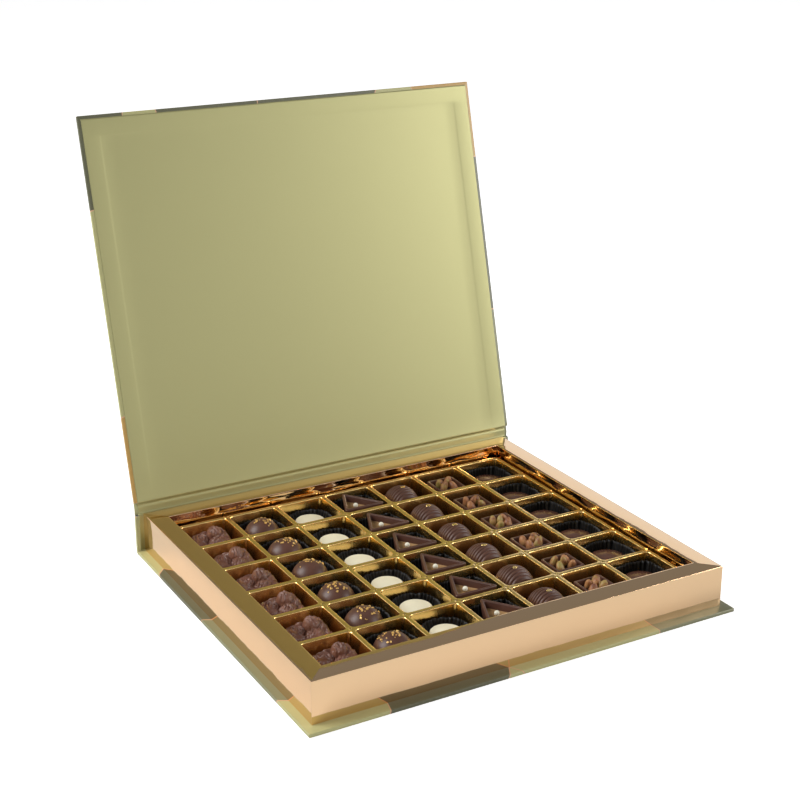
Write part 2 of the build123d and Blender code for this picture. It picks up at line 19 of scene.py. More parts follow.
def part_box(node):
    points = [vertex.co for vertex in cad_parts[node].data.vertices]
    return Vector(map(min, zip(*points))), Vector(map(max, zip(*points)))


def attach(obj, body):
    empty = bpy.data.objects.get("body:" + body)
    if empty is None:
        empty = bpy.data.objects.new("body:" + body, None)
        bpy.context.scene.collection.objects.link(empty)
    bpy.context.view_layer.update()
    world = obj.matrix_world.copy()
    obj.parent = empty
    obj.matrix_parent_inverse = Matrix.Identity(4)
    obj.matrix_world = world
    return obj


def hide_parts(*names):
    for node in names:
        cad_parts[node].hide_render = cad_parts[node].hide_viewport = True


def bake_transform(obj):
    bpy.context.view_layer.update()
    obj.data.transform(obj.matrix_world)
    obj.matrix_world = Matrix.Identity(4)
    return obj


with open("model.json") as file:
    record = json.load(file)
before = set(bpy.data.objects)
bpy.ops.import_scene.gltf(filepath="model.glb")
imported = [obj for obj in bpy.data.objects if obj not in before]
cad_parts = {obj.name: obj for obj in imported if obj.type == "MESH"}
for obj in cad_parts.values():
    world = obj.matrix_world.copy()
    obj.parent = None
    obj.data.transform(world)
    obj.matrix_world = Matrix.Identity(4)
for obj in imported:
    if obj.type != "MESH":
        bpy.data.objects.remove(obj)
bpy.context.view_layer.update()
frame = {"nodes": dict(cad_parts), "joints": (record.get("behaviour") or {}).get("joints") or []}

bl_info = {
    "name": "Chocolate Box",
    "version": (1, 0, 0),
    "blender": (4, 5, 0),
    "location": "3D View > Sidebar > Chocolate Box",
    "description": "Dresses the solids of a hinged chocolate box with paper, foil and chocolates",
    "category": "Object",
}

MM = 0.001


def box_mm(node):
    """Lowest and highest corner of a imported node, in millimetres."""
    return [[value / MM for value in corner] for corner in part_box(node)]


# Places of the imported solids, and the few sizes that their boxes don't show
BASE_LOW, BASE_HIGH = box_mm("base_wrap")
SPINE_LOW, SPINE_HIGH = box_mm("spine_wrap")
TRAY_LOW, TRAY_HIGH = box_mm("tray_foil")
INSERT_LOW, INSERT_HIGH = box_mm("insert_tray")
HINGE = next(joint for joint in frame["joints"] if joint["name"] == "lid_hinge")
HINGE_Y, HINGE_Z = HINGE["pos_m"][1] / MM, HINGE["pos_m"][2] / MM
CASE_HALF = BASE_HIGH[0]
CASE_STACK = 3.0
PAPER = 0.2
LID_LENGTH = 288.3
LID_GAP = 4.5
OPEN_ANGLE = 104.8
TURN_IN = 15.0
SPINE_IN, SPINE_OUT = SPINE_LOW[1], SPINE_HIGH[1]
SPINE_HEAD = HINGE_Z - LID_GAP
RIM_WIDTH = 14.5
COLUMNS, ROWS, PITCH = 7, 6, 40.0
POCKET_HALF = 18.35
RIB_TOP = INSERT_HIGH[2]
POCKET_FLOOR = INSERT_LOW[2] + 0.5
CUP_FLOOR = POCKET_FLOOR + 0.3


# Settings that a user may change
class CaseSettings(bpy.types.PropertyGroup):
    """Colours and softness of the papers on the case"""

    dark_patch: FloatVectorProperty(
        name="Dark patch", description="Dark colour of the patchwork print", subtype="COLOR",
        size=3, min=0, max=1, default=(0.115, 0.115, 0.062),
    )
    light_patch: FloatVectorProperty(
        name="Light patch", description="Light colour of the patchwork print", subtype="COLOR",
        size=3, min=0, max=1, default=(0.46, 0.44, 0.20),
    )
    gold_patch: FloatVectorProperty(
        name="Gold patch", description="Gold colour of the patchwork print", subtype="COLOR",
        size=3, min=0, max=1, default=(0.50, 0.30, 0.08),
    )
    copper_line: FloatVectorProperty(
        name="Copper line", description="Colour of the thin lines between the patches",
        subtype="COLOR", size=3, min=0, max=1, default=(0.70, 0.40, 0.24),
    )
    patch_size: FloatProperty(
        name="Patch size", description="Usual distance across one patch", unit="LENGTH",
        min=0.02, max=0.3, default=0.085,
    )
    lining: FloatVectorProperty(
        name="Lining", description="Colour of the satin lining paper", subtype="COLOR", size=3,
        min=0, max=1, default=(0.42, 0.40, 0.185),
    )
    softness: FloatProperty(
        name="Edge softness", description="Radius of the paper-covered board edges",
        unit="LENGTH", min=0.0001, max=0.0014, default=0.0007,
    )


class TraySettings(bpy.types.PropertyGroup):
    """Colours and folds of the foil on the tray"""

    foil: FloatVectorProperty(
        name="Foil", description="Colour of the metal foil paper", subtype="COLOR", size=3,
        min=0, max=1, default=(0.94, 0.655, 0.39),
    )
    crumple: FloatProperty(
        name="Crumple", description="Height of the folds in the foil inside the walls",
        unit="LENGTH", min=0, max=0.002, default=0.0013,
    )


class InsertSettings(bpy.types.PropertyGroup):
    """Colour and roundings of the formed insert"""

    gold: FloatVectorProperty(
        name="Gold", description="Colour of the metallised sheet", subtype="COLOR", size=3,
        min=0, max=1, default=(1.0, 0.71, 0.27),
    )
    rib_round: FloatProperty(
        name="Rib rounding", description="Radius along the top edges of the ribs",
        unit="LENGTH", min=0.0002, max=0.0014, default=0.0006,
    )
    corner: FloatProperty(
        name="Pocket corner", description="Radius of the pockets' upright corners",
        unit="LENGTH", min=0.002, max=0.008, default=0.0032,
    )


class CupSettings(bpy.types.PropertyGroup):
    """Colour and pleats of the paper cups"""

    paper: FloatVectorProperty(
        name="Paper", description="Colour of the waxed cup paper", subtype="COLOR", size=3,
        min=0, max=1, default=(0.005, 0.0045, 0.0045),
    )
    pleats: IntProperty(name="Pleats", description="Pleats around one cup", min=16, max=64, default=36)
    pleat_depth: FloatProperty(
        name="Pleat depth", description="Depth of a pleat at the cup's rim", unit="LENGTH",
        min=0.0002, max=0.0015, default=0.0008,
    )


class ChocolateSettings(bpy.types.PropertyGroup):
    """Colours of the chocolates and of what is on them"""

    milk: FloatVectorProperty(
        name="Milk chocolate", description="Colour of the milk chocolate", subtype="COLOR",
        size=3, min=0, max=1, default=(0.098, 0.042, 0.028),
    )
    white: FloatVectorProperty(
        name="White chocolate", description="Colour of the white chocolate", subtype="COLOR",
        size=3, min=0, max=1, default=(0.84, 0.79, 0.60),
    )
    caramel: FloatVectorProperty(
        name="Caramel", description="Colour of the caramel filling", subtype="COLOR", size=3,
        min=0, max=1, default=(0.40, 0.235, 0.10),
    )
    crumbs_per_dome: IntProperty(
        name="Crumbs per dome", description="Gold crumbs strewn on one dome", min=4, max=60,
        default=26,
    )


class StageSettings(bpy.types.PropertyGroup):
    """Floor and lamps of the pale studio"""

    key_power: FloatProperty(
        name="Key power", description="Power of the large soft lamp", subtype="POWER", min=0,
        max=500, default=39.0,
    )
    fill_power: FloatProperty(
        name="Fill power", description="Power of the soft lamp on the other side",
        subtype="POWER", min=0, max=500, default=38.0,
    )
    surround: FloatProperty(
        name="Surround", description="Brightness of the room above the lamps", min=0, max=2,
        default=0.22,
    )


# Meshes
class Shape:
    """Corners and faces of one piece, collected in millimetres."""

    def __init__(self):
        self.corners = []
        self.faces = []
        self.spots = {}

    def loop(self, points):
        """Adds a run of corners and returns their numbers."""
        start = len(self.corners)
        self.corners += [tuple(point) for point in points]
        return list(range(start, len(self.corners)))

    def bridge(self, lower, upper, closed=True):
        """Faces between two runs of the same length."""
        last = len(lower) if closed else len(lower) - 1
        for i in range(last):
            j = (i + 1) % len(lower)
            self.faces.append((lower[i], lower[j], upper[j], upper[i]))

    def cap(self, loop):
        """One flat face over a closed run."""
        self.faces.append(tuple(loop))

    def stack(self, rings, closed=True, start_cap=False, end_cap=False):
        """Bridges a list of runs one after another."""
        loops = [self.loop(ring) for ring in rings]
        for lower, upper in zip(loops, loops[1:]):
            self.bridge(lower, upper, closed)
        if start_cap:
            self.cap(loops[0][::-1])
        if end_cap:
            self.cap(loops[-1])
        return loops

    def build(self, name, finish, body, slot, replaces=(), turn=None, crease=35.0, thick=0.0):
        """Makes the object, in metres, and ties it to its body when body is one name; otherwise the
        piece stays where it is built.
        """
        mesh = bpy.data.meshes.new(name)
        mesh.from_pydata([tuple(value * MM for value in c) for c in self.corners], [], self.faces)
        work = bmesh.new()
        work.from_mesh(mesh)
        if not self.spots:
            bmesh.ops.remove_doubles(work, verts=work.verts, dist=2e-6)
            bmesh.ops.dissolve_degenerate(work, edges=work.edges, dist=1e-6)
        bmesh.ops.recalc_face_normals(work, faces=work.faces)
        if turn is not None:
            work.transform(turn)
        for face in work.faces:
            face.smooth = True
        if self.spots:
            layer = work.loops.layers.uv.new("sheet")
            for face in work.faces:
                for corner in face.loops:
                    corner[layer].uv = self.spots[corner.vert.index]
        work.to_mesh(mesh)
        work.free()
        mesh.set_sharp_from_angle(angle=radians(crease))
        piece = bpy.data.objects.new(name, mesh)
        bpy.context.scene.collection.objects.link(piece)
        mesh.materials.append(finish)
        if thick:
            wall = piece.modifiers.new("Thickness", "SOLIDIFY")
            wall.thickness = thick * MM
            wall.offset = 0
        if replaces:
            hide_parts(*replaces)
        if isinstance(body, str):
            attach(piece, body)
        else:
            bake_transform(piece)
        return piece


def rounded_ring(half_x, half_y, radius, height, centre=(0, 0), corner_steps=6, side_steps=4):
    """A rounded rectangle at one height, anticlockwise."""
    corners = []
    for quarter in range(4):
        side_x = 1 if quarter in (0, 3) else -1
        side_y = 1 if quarter in (0, 1) else -1
        arc = []
        for step in range(corner_steps + 1):
            angle = radians(90 * (quarter + step / corner_steps))
            arc.append((
                centre[0] + side_x * (half_x - radius) + radius * cos(angle),
                centre[1] + side_y * (half_y - radius) + radius * sin(angle),
                height,
            ))
        corners.append(arc)
    ring = []
    for quarter in range(4):
        arc, after = corners[quarter], corners[(quarter + 1) % 4]
        ring += arc
        for step in range(1, side_steps):
            share = step / side_steps
            ring.append(tuple(a + (b - a) * share for a, b in zip(arc[-1], after[0])))
    return ring


def rounded_polygon(points, inset, radius, height, centre=(0, 0), steps=5):
    """A convex outline moved inwards and rounded, at one height, anticlockwise."""
    ring = []
    count = len(points)
    for i in range(count):
        before, here, after = (Vector(points[(i + k) % count]) for k in (-1, 0, 1))
        along_in, along_out = (here - before).normalized(), (after - here).normalized()
        normal_in = Vector((along_in.y, -along_in.x))
        normal_out = Vector((along_out.y, -along_out.x))
        bisector = (normal_in + normal_out).normalized()
        middle = here - bisector * ((inset + radius) / bisector.dot(normal_in))
        first, span = Vector((1, 0)).angle_signed(normal_in), normal_in.angle_signed(normal_out)
        for step in range(steps + 1):
            angle = -(first + span * step / steps)
            ring.append((
                centre[0] + middle.x + radius * cos(angle),
                centre[1] + middle.y + radius * sin(angle), height,
            ))
    return ring


def round_ring(radius, height, centre=(0, 0), steps=48):
    """A circle at one height."""
    angles = [2 * pi * step / steps for step in range(steps)]
    return [(centre[0] + radius * cos(a), centre[1] + radius * sin(a), height) for a in angles]


def quarter_round(steps):
    """Shares of a rounding's radius, outwards and up, from its side to its top."""
    return [(cos(pi / 2 * k / steps), sin(pi / 2 * k / steps)) for k in range(steps + 1)]


def wrapped_board(shape, half_x, low_y, high_y, low_z, high_z, soft, along):
    """A board in printed paper: its outer face, its soft edges and the border turned in behind.

    The outer face is the low one. along gives the place on the sheet of paper for a place across
    the board.
    """
    middle, half_y = (0, (low_y + high_y) / 2), (high_y - low_y) / 2
    thick = high_z - low_z
    field, margin, lip, paper_step = 40.0, 6.0, 0.2, 0.15
    corner, near = 0.6, 0.4
    arc = quarter_round(4)
    levels = [(field, 0.0), (margin, 0.0)]
    levels += [(soft * (1 - out), soft * (1 - up)) for out, up in arc[::-1]]
    levels += [(soft * (1 - out), thick - soft * (1 - up)) for out, up in arc]
    levels += [(margin, thick), (TURN_IN - lip, thick), (TURN_IN + lip, thick - paper_step)]
    loops = []
    travel = -field
    before = levels[0]
    for inset, rise in levels:
        travel += hypot(inset - before[0], rise - before[1])
        before = (inset, rise)
        radius = max(corner - inset, 0.05) + 0.1
        loop = shape.loop(rounded_ring(half_x - inset, half_y - inset, radius, low_z + rise, middle,
                                       3, 10))
        for number in loop:
            x, y, _ = shape.corners[number]
            off = y - middle[1]
            side_x = 0 if abs(x) < half_x - inset - near else (1 if x > 0 else -1)
            side_y = 0 if abs(off) < half_y - inset - near else (1 if off > 0 else -1)
            u, v = x + side_x * (inset + travel), y + side_y * (inset + travel)
            shape.spots[number] = (u * MM, along(v) * MM)
        loops.append(loop)
    for lower, upper in zip(loops, loops[1:]):
        shape.bridge(lower, upper)
    shape.cap(loops[0][::-1])
    shape.cap(loops[-1])


def cell_centre(column, row):
    """Middle of a pocket; rows are counted from the back."""
    return ((column - (COLUMNS - 1) / 2) * PITCH, ((ROWS - 1) / 2 - row) * PITCH)


def wobble(point, size, seed=0.0):
    """Smooth noise between about -1 and 1 for a place in millimetres."""
    return noise.noise(Vector((point[0] / size + seed, point[1] / size - seed, point[2] / size)))


# Finishes
def finish_nodes(name, colour=(0.8, 0.8, 0.8), roughness=0.5, metallic=0.0, coat=0.0):
    """A finish with one shader, and what is needed to wire more into it."""
    finish = bpy.data.materials.new(name)
    finish.use_nodes = True
    nodes, links = finish.node_tree.nodes, finish.node_tree.links
    shader = nodes["Principled BSDF"]
    shader.inputs["Base Color"].default_value = (*colour, 1)
    shader.inputs["Roughness"].default_value = roughness
    shader.inputs["Metallic"].default_value = metallic
    shader.inputs["Coat Weight"].default_value = coat
    return finish, nodes, links, shader


def place_node(nodes):
    """The place on the piece, in its own frame."""
    return nodes.new("ShaderNodeTexCoord").outputs["Object"]


def grain(nodes, links, scale, detail=3.0, rough=0.55, stretch=None):
    """Noise over the piece, finer with a larger scale; stretch squeezes it along an axis."""
    texture = nodes.new("ShaderNodeTexNoise")
    texture.inputs["Scale"].default_value = scale
    texture.inputs["Detail"].default_value = detail
    texture.inputs["Roughness"].default_value = rough
    place = place_node(nodes)
    if stretch:
        squeeze = nodes.new("ShaderNodeMapping")
        squeeze.inputs["Scale"].default_value = stretch
        links.new(place, squeeze.inputs["Vector"])
        place = squeeze.outputs["Vector"]
    links.new(place, texture.inputs["Vector"])
    return texture.outputs["Fac"]


def ramp(nodes, links, factor, stops, blend="LINEAR"):
    """Colours along a factor; each stop is a place and a colour."""
    node = nodes.new("ShaderNodeValToRGB")
    node.color_ramp.interpolation = blend
    elements = node.color_ramp.elements
    while len(elements) < len(stops):
        elements.new(0.5)
    for element, (place, colour) in zip(elements, stops):
        element.position = place
        element.color = (*colour, 1)
    links.new(factor, node.inputs["Fac"])
    return node.outputs["Color"]


def relief(nodes, links, shader, height, distance, strength=1.0):
    """Shallow relief from a height, in metres of depth."""
    bump = nodes.new("ShaderNodeBump")
    bump.inputs["Distance"].default_value = distance
    bump.inputs["Strength"].default_value = strength
    links.new(height, bump.inputs["Height"])
    links.new(bump.outputs["Normal"], shader.inputs["Normal"])
    return bump


def shade(colour, factor):
    """A colour made darker or lighter."""
    return tuple(min(1.0, value * factor) for value in colour)


def patchwork_paper(settings):
    """Printed cover paper: plain patches of four colours with thin copper lines between them.

    The print follows the sheet of paper, so it runs on around the edges of the boards.
    """
    finish, nodes, links, shader = finish_nodes("patchwork_paper", roughness=0.42, coat=0.15)
    shader.inputs["Coat Roughness"].default_value = 0.3
    sheet = nodes.new("ShaderNodeTexCoord").outputs["UV"]
    turn = nodes.new("ShaderNodeMapping")
    turn.inputs["Location"].default_value = (0.213, 0.147, 0)
    turn.inputs["Rotation"].default_value = (0, 0, 0.42)
    turn.inputs["Scale"].default_value = (1.0, 0.72, 1)
    links.new(sheet, turn.inputs["Vector"])
    cells = nodes.new("ShaderNodeTexVoronoi")
    edges = nodes.new("ShaderNodeTexVoronoi")
    edges.feature = "DISTANCE_TO_EDGE"
    scale = 1 / settings.patch_size
    for texture in (cells, edges):
        texture.voronoi_dimensions = "2D"
        texture.inputs["Scale"].default_value = scale
        texture.inputs["Randomness"].default_value = 0.85
        links.new(turn.outputs["Vector"], texture.inputs["Vector"])
    pick = nodes.new("ShaderNodeSeparateColor")
    links.new(cells.outputs["Color"], pick.inputs["Color"])
    patches = ramp(nodes, links, pick.outputs["Red"], [
        (0.0, tuple(settings.dark_patch)),
        (0.38, tuple(settings.light_patch)),
        (0.72, shade(settings.dark_patch, 1.9)),
        (0.88, tuple(settings.gold_patch)),
    ], "CONSTANT")
    line = nodes.new("ShaderNodeMath")
    line.operation = "LESS_THAN"
    line.inputs[1].default_value = 0.0003 * scale
    links.new(edges.outputs["Distance"], line.inputs[0])
    mixed = nodes.new("ShaderNodeMix")
    mixed.data_type = "RGBA"
    links.new(line.outputs["Value"], mixed.inputs["Factor"])
    links.new(patches, mixed.inputs["A"])
    mixed.inputs["B"].default_value = (*settings.copper_line, 1)
    links.new(mixed.outputs["Result"], shader.inputs["Base Color"])
    relief(nodes, links, shader, grain(nodes, links, 900.0), 0.00004, 0.5)
    return finish


def satin_lining(settings):
    """Lining paper with a soft satin sheen."""
    finish, nodes, links, shader = finish_nodes(
        "satin_lining", tuple(settings.lining), roughness=0.38, metallic=0.45
    )
    relief(nodes, links, shader, grain(nodes, links, 14.0, 4.0), 0.0006, 0.12)
    return finish


def metal_foil(name, colour, roughness, wave, wave_scale, stretch=None):
    """Metal foil paper with slow waves in its shine."""
    finish, nodes, links, shader = finish_nodes(name, colour, roughness, metallic=1.0)
    relief(nodes, links, shader, grain(nodes, links, wave_scale, 3.0, 0.5, stretch), wave)
    return finish


def chocolate(name, colour, roughness=0.42, grain_scale=260.0, depth=0.00012, mottled=0.12):
    """Tempered chocolate: a soft shine with a slightly mottled colour."""
    finish, nodes, links, shader = finish_nodes(name, colour, roughness)
    shader.inputs["Specular IOR Level"].default_value = 0.4
    tone = ramp(nodes, links, grain(nodes, links, 90.0, 4.0), [
        (0.35, shade(colour, 1 - mottled)), (0.65, shade(colour, 1 + mottled)),
    ])
    links.new(tone, shader.inputs["Base Color"])
    relief(nodes, links, shader, grain(nodes, links, grain_scale, 5.0), depth, 0.6)
    return finish


def plain_board(name, colour):
    """Uncoated board with a fine fibre."""
    finish, nodes, links, shader = finish_nodes(name, colour, roughness=0.85)
    tone = ramp(nodes, links, grain(nodes, links, 700.0, 4.0), [
        (0.3, shade(colour, 0.9)), (0.7, shade(colour, 1.08)),
    ])
    links.new(tone, shader.inputs["Base Color"])
    return finish


def cup_paper(settings):
    """Dark waxed paper."""
    finish, nodes, links, shader = finish_nodes(
        "waxed_cup_paper", tuple(settings.paper), roughness=0.5
    )
    shader.inputs["Specular IOR Level"].default_value = 0.35
    relief(nodes, links, shader, grain(nodes, links, 700.0), 0.00006, 0.6)
    return finish


def kernel_skin(name, stops):
    """Nut skin in blotches of several colours."""
    finish, nodes, links, shader = finish_nodes(name, roughness=0.5)
    blotches = ramp(nodes, links, grain(nodes, links, 190.0, 4.0, 0.6), stops)
    links.new(blotches, shader.inputs["Base Color"])
    relief(nodes, links, shader, grain(nodes, links, 420.0, 5.0), 0.0003, 0.7)
    return finish


def grained(name, colour, roughness, metallic, scale, depth, strength):
    """A plain finish with a fine even grain."""
    finish, nodes, links, shader = finish_nodes(name, colour, roughness, metallic)
    relief(nodes, links, shader, grain(nodes, links, scale), depth, strength)
    return finish


def set_node_finish(node, finish):
    """Gives a carried-over solid its finish."""
    solid = frame["nodes"][node]
    for slot in solid.material_slots:
        slot.material = finish
    if not solid.material_slots:
        solid.data.materials.append(finish)


# The case
def lid_turn():
    """Matrix from the lid's own plane to the part's frame, in metres.

    In the lid's plane X runs along the spine, Y from the hinge line to the free edge, and Z from
    the outer face inwards.
    """
    lean = radians(180 - OPEN_ANGLE)
    inwards = Vector((0, -sin(lean), cos(lean)))
    upwards = Vector((0, cos(lean), sin(lean)))
    origin = Vector((0, HINGE_Y, HINGE_Z)) - inwards * PAPER
    turn = Matrix((
        (1, upwards.x, inwards.x, origin.x * MM),
        (0, upwards.y, inwards.y, origin.y * MM),
        (0, upwards.z, inwards.z, origin.z * MM),
        (0, 0, 0, 1),
    ))
    return turn


def lid_point(reach, depth):
    """Y and Z of a place on the lid, in millimetres."""
    place = lid_turn() @ Vector((0, reach * MM, depth * MM))
    return place.y / MM, place.z / MM


def swept_sheet(shape, path, half_x, start, stations=24):
    """A sheet along X over an open path of Y and Z; start is its first place on the paper."""
    travel = [start]
    for before, after in zip(path, path[1:]):
        travel.append(travel[-1] + hypot(after[0] - before[0], after[1] - before[1]))
    runs = []
    for k in range(stations + 1):
        x = -half_x + 2 * half_x * k / stations
        run = shape.loop([(x, y, z) for y, z in path])
        for number, reach in zip(run, travel):
            shape.spots[number] = (x * MM, reach * MM)
        runs.append(run)
    for before, after in zip(runs, runs[1:]):
        shape.bridge(before, after, closed=False)


def smooth_path(points, steps=6):
    """Points on a soft curve through the given ones."""
    path = []
    last = len(points) - 1
    for i in range(last):
        p0, p1, p2, p3 = (Vector(points[min(max(i + k, 0), last)]) for k in (-1, 0, 1, 2))
        for step in range(steps):
            t = step / steps
            path.append(tuple(0.5 * (
                2 * p1 + (p2 - p0) * t + (2 * p0 - 5 * p1 + 4 * p2 - p3) * t * t
                + (3 * p1 - p0 - 3 * p2 + p3) * t * t * t
            )))
    path.append(tuple(points[-1]))
    return path


def hinge_span():
    """Where the bending paper leaves the spine and where it joins the lid, in metres."""
    start = (0, SPINE_OUT * MM, (SPINE_HEAD + 0.5) * MM)
    end = (0, *(value * MM for value in lid_point(4.0, 0)))
    return start, end


def spine_cover(soft, sheet_base):
    """Cover paper around the spine board, with the rounded fold at its foot."""
    inner = SPINE_IN + PAPER
    outline = [
        (SPINE_IN + CASE_STACK * sin(a), CASE_STACK - CASE_STACK * cos(a))
        for a in (radians(90 * k / 8) for k in range(9))
    ]
    outline.append((SPINE_OUT, SPINE_HEAD - soft))
    outline += [(SPINE_OUT - soft * (1 - c), SPINE_HEAD - soft * (1 - s))
                for c, s in quarter_round(3)]
    outline += [(inner + soft * (1 - c), SPINE_HEAD - soft * (1 - s))
                for c, s in quarter_round(3)[::-1]]
    outline += [(inner, CASE_STACK), (SPINE_IN, CASE_STACK - 0.3)]
    bevel, tightness, turned_in = 0.4, 0.25, 6
    middle, top = SPINE_IN + 1.5, SPINE_HEAD - 1
    spine = Shape()
    loops = []
    for x in (-CASE_HALF, -CASE_HALF + bevel, CASE_HALF - bevel, CASE_HALF):
        tight = 0.0 if abs(x) < CASE_HALF else tightness
        loop = spine.loop([
            (x, y + (-tight if y > middle else tight), z - (tight if z > top else 0))
            for y, z in outline
        ])
        for number in loop:
            _, y, z = spine.corners[number]
            u = x if y > middle else x + (turned_in if x > 0 else -turned_in)
            spine.spots[number] = (u * MM, (sheet_base + z) * MM)
        loops.append(loop)
    for before, after in zip(loops, loops[1:]):
        spine.bridge(before, after)
    spine.cap(loops[0][::-1])
    spine.cap(loops[-1])
    return spine


class BOX_OT_case(bpy.types.Operator):
    """Wrap the base, the spine and the lid in printed paper"""

    bl_idname = "chocolate_box.case"
    bl_label = "Case"

    def execute(self, context):
        settings = context.scene.box_case
        print_paper = patchwork_paper(settings)
        soft = settings.softness / MM
        greyboard = plain_board("greyboard", (0.36, 0.33, 0.28))
        for node in ("base_board", "spine_board", "lid_board"):
            set_node_finish(node, greyboard)

        # One sheet of paper runs from the base over the spine to the lid
        sheet_base = BASE_HIGH[1]
        sheet_hinge = sheet_base + CASE_STACK + HINGE_Z

        base = Shape()
        wrapped_board(base, CASE_HALF, BASE_LOW[1], BASE_HIGH[1], BASE_LOW[2], BASE_HIGH[2], soft,
                      lambda y: y)
        base.build("base_cover", print_paper, "case_and_tray", "cover_paper", ["base_wrap"])

        spine = spine_cover(soft, sheet_base)
        spine.build("spine_cover", print_paper, "case_and_tray", "cover_paper", ["spine_wrap"])

        lid = Shape()
        wrapped_board(lid, CASE_HALF, LID_GAP, LID_LENGTH, 0, CASE_STACK - PAPER, soft,
                      lambda y: sheet_hinge + y)
        lid.build("lid_cover", print_paper, "lid", "cover_paper", ["lid_wrap"], turn=lid_turn())

        # The strip of cover paper that bends between the spine and the lid
        overlap, strip_thick = 6, 0.12
        path = [(SPINE_OUT - 0.12, SPINE_HEAD - overlap), (SPINE_OUT - 0.12, SPINE_HEAD - 1)]
        path += [(SPINE_OUT - 0.14, SPINE_HEAD + 1.0), (SPINE_OUT - 0.16, HINGE_Z - 0.6)]
        path += [lid_point(1.6, 0.14), lid_point(5.4, 0.1), lid_point(10.4, 0.1)]
        strip = Shape()
        swept_sheet(strip, smooth_path(path), CASE_HALF - 0.2, sheet_base + SPINE_HEAD - overlap)
        strip.build("hinge_strip", print_paper, ("case_and_tray", "lid", *hinge_span()),
                    "cover_paper", thick=strip_thick)
        return {"FINISHED"}


def lining_crosses(half, edge):
    """Places across the lining: close together at its edges and at the border's ridge."""
    crosses = [-half, -half + 0.6, -edge - 1.0, -edge, -edge + 1.0]
    crosses += [-edge + 1 + (2 * edge - 2) * k / 30 for k in range(1, 30)]
    return crosses + [edge - 1.0, edge, edge + 1.0, half - 0.6, half]


class BOX_OT_lining(bpy.types.Operator):
    """Line the lid, the hinge and the spine with satin paper"""

    bl_idname = "chocolate_box.lining"
    bl_label = "Lining"

    def execute(self, context):
        finish = satin_lining(context.scene.box_case)
        setback, paper_thick, ridge = 2.5, 0.14, 0.16
        half = CASE_HALF - setback
        top = LID_LENGTH - setback
        edge = half - (TURN_IN - setback)
        level = CASE_STACK - 0.1
        inner = SPINE_IN + 0.1
        landing = 6.4
        path = [(inner, CASE_STACK + 0.5), (inner, SPINE_HEAD - 1.2)]
        path += smooth_path([
            (inner, SPINE_HEAD - 1.0), (SPINE_IN + 0.45, SPINE_HEAD + 0.2),
            (SPINE_IN + 1.2, SPINE_HEAD + 0.7), (SPINE_OUT - 1.2, SPINE_HEAD + 1.3),
            (SPINE_OUT - 0.9, HINGE_Z - 1.4),
            lid_point(1.0, 1.0), lid_point(2.6, 0.9), lid_point(3.8, 1.5),
            lid_point(4.3, 2.6), lid_point(5.1, level + 0.05), lid_point(landing, level),
        ], 5)
        field = top - TURN_IN
        reaches = [landing + (field - 8.0) * k / 24 for k in range(1, 25)]
        reaches += [field + 1.5, field + 2.5, field + 3.5, top - 1, top]

        def sunk(x, reach):
            """Depth of the field inside the turned-in border."""
            across = min(1, max(0, (edge + 1.0 - abs(x)) / 2))
            along = min(1, max(0, (field + 3.5 - reach) / 2))
            return ridge * across * along

        runs = []
        for x in lining_crosses(half, edge):
            run = [(x, y, z) for y, z in path]
            for reach in reaches:
                y, z = lid_point(reach, level - sunk(x, reach))
                run.append((x, y, z))
            runs.append(run)
        sheet = Shape()
        sheet.stack(runs, closed=False)
        sheet.build("lining_sheet", finish, ("case_and_tray", "lid", *hinge_span()),
                    "lining_paper", ["spine_liner", "lid_liner"], thick=paper_thick)
        steel = grained("plated_steel", (0.62, 0.62, 0.64), 0.3, 1.0, 500.0, 0.00003, 0.4)
        for node in ("lid_magnets", "tray_magnets"):
            set_node_finish(node, steel)
        return {"FINISHED"}


# The tray
def foil_profile():
    """Inset from the outer face and height of the foil around one wall, with the place's kind."""
    low, top = TRAY_LOW[2], TRAY_HIGH[2]
    soft, sheet_gap = 0.6, 0.02
    profile = [(sheet_gap, low + sheet_gap, "outer"), (0.0, low + 3, "outer")]
    profile += [(0.0, top - 8, "outer")]
    profile += [(soft * (1 - c), top - soft * (1 - s), "outer") for c, s in quarter_round(6)]
    profile += [(soft + (RIM_WIDTH - 2 * soft) * k / 10, top, "rim") for k in range(1, 10)]
    profile += [(RIM_WIDTH - soft * (1 - c), top - soft * (1 - s), "rim")
                for c, s in quarter_round(4)[::-1]]
    depth = top - soft - (POCKET_FLOOR - 0.4)
    profile += [(RIM_WIDTH, top - soft - depth * k / 26, "inner") for k in range(1, 27)]
    return profile


def foil_fold(x, height, seed):
    """How far the foil inside a wall is pushed out, as a share of the crumple's height."""
    folds = abs(noise.noise(Vector((x / 65 + seed * 3.1, height / 4.6, seed))))
    fine = abs(noise.noise(Vector((x / 26 - seed * 2.3, height / 2.1, seed * 2))))
    return 0.7 * folds + 0.3 * fine


def lean_rim(piece, rotate, half_short):
    """Shades the rim as if it were slightly arched, and rounded at its outer edge."""
    arch, edge_turn, edge_width = radians(12.0), radians(26.0), 1.8
    top = TRAY_HIGH[2]
    mesh = piece.data
    normals = []
    for corner, plain in zip(mesh.loops, mesh.corner_normals):
        place = rotate.transposed() @ mesh.vertices[corner.vertex_index].co
        inset = place.y / MM + half_short
        if plain.vector.z > 0.97 and place.z / MM > top - 0.4 and inset < RIM_WIDTH - 0.7:
            slope = arch * (1 - inset / RIM_WIDTH) ** 0.8
            slope += edge_turn * max(0, 1 - inset / edge_width)
            normals.append(rotate @ Vector((plain.vector.x, -sin(slope), cos(slope))))
        else:
            normals.append(plain.vector.copy())
    mesh.normals_split_custom_set(normals)


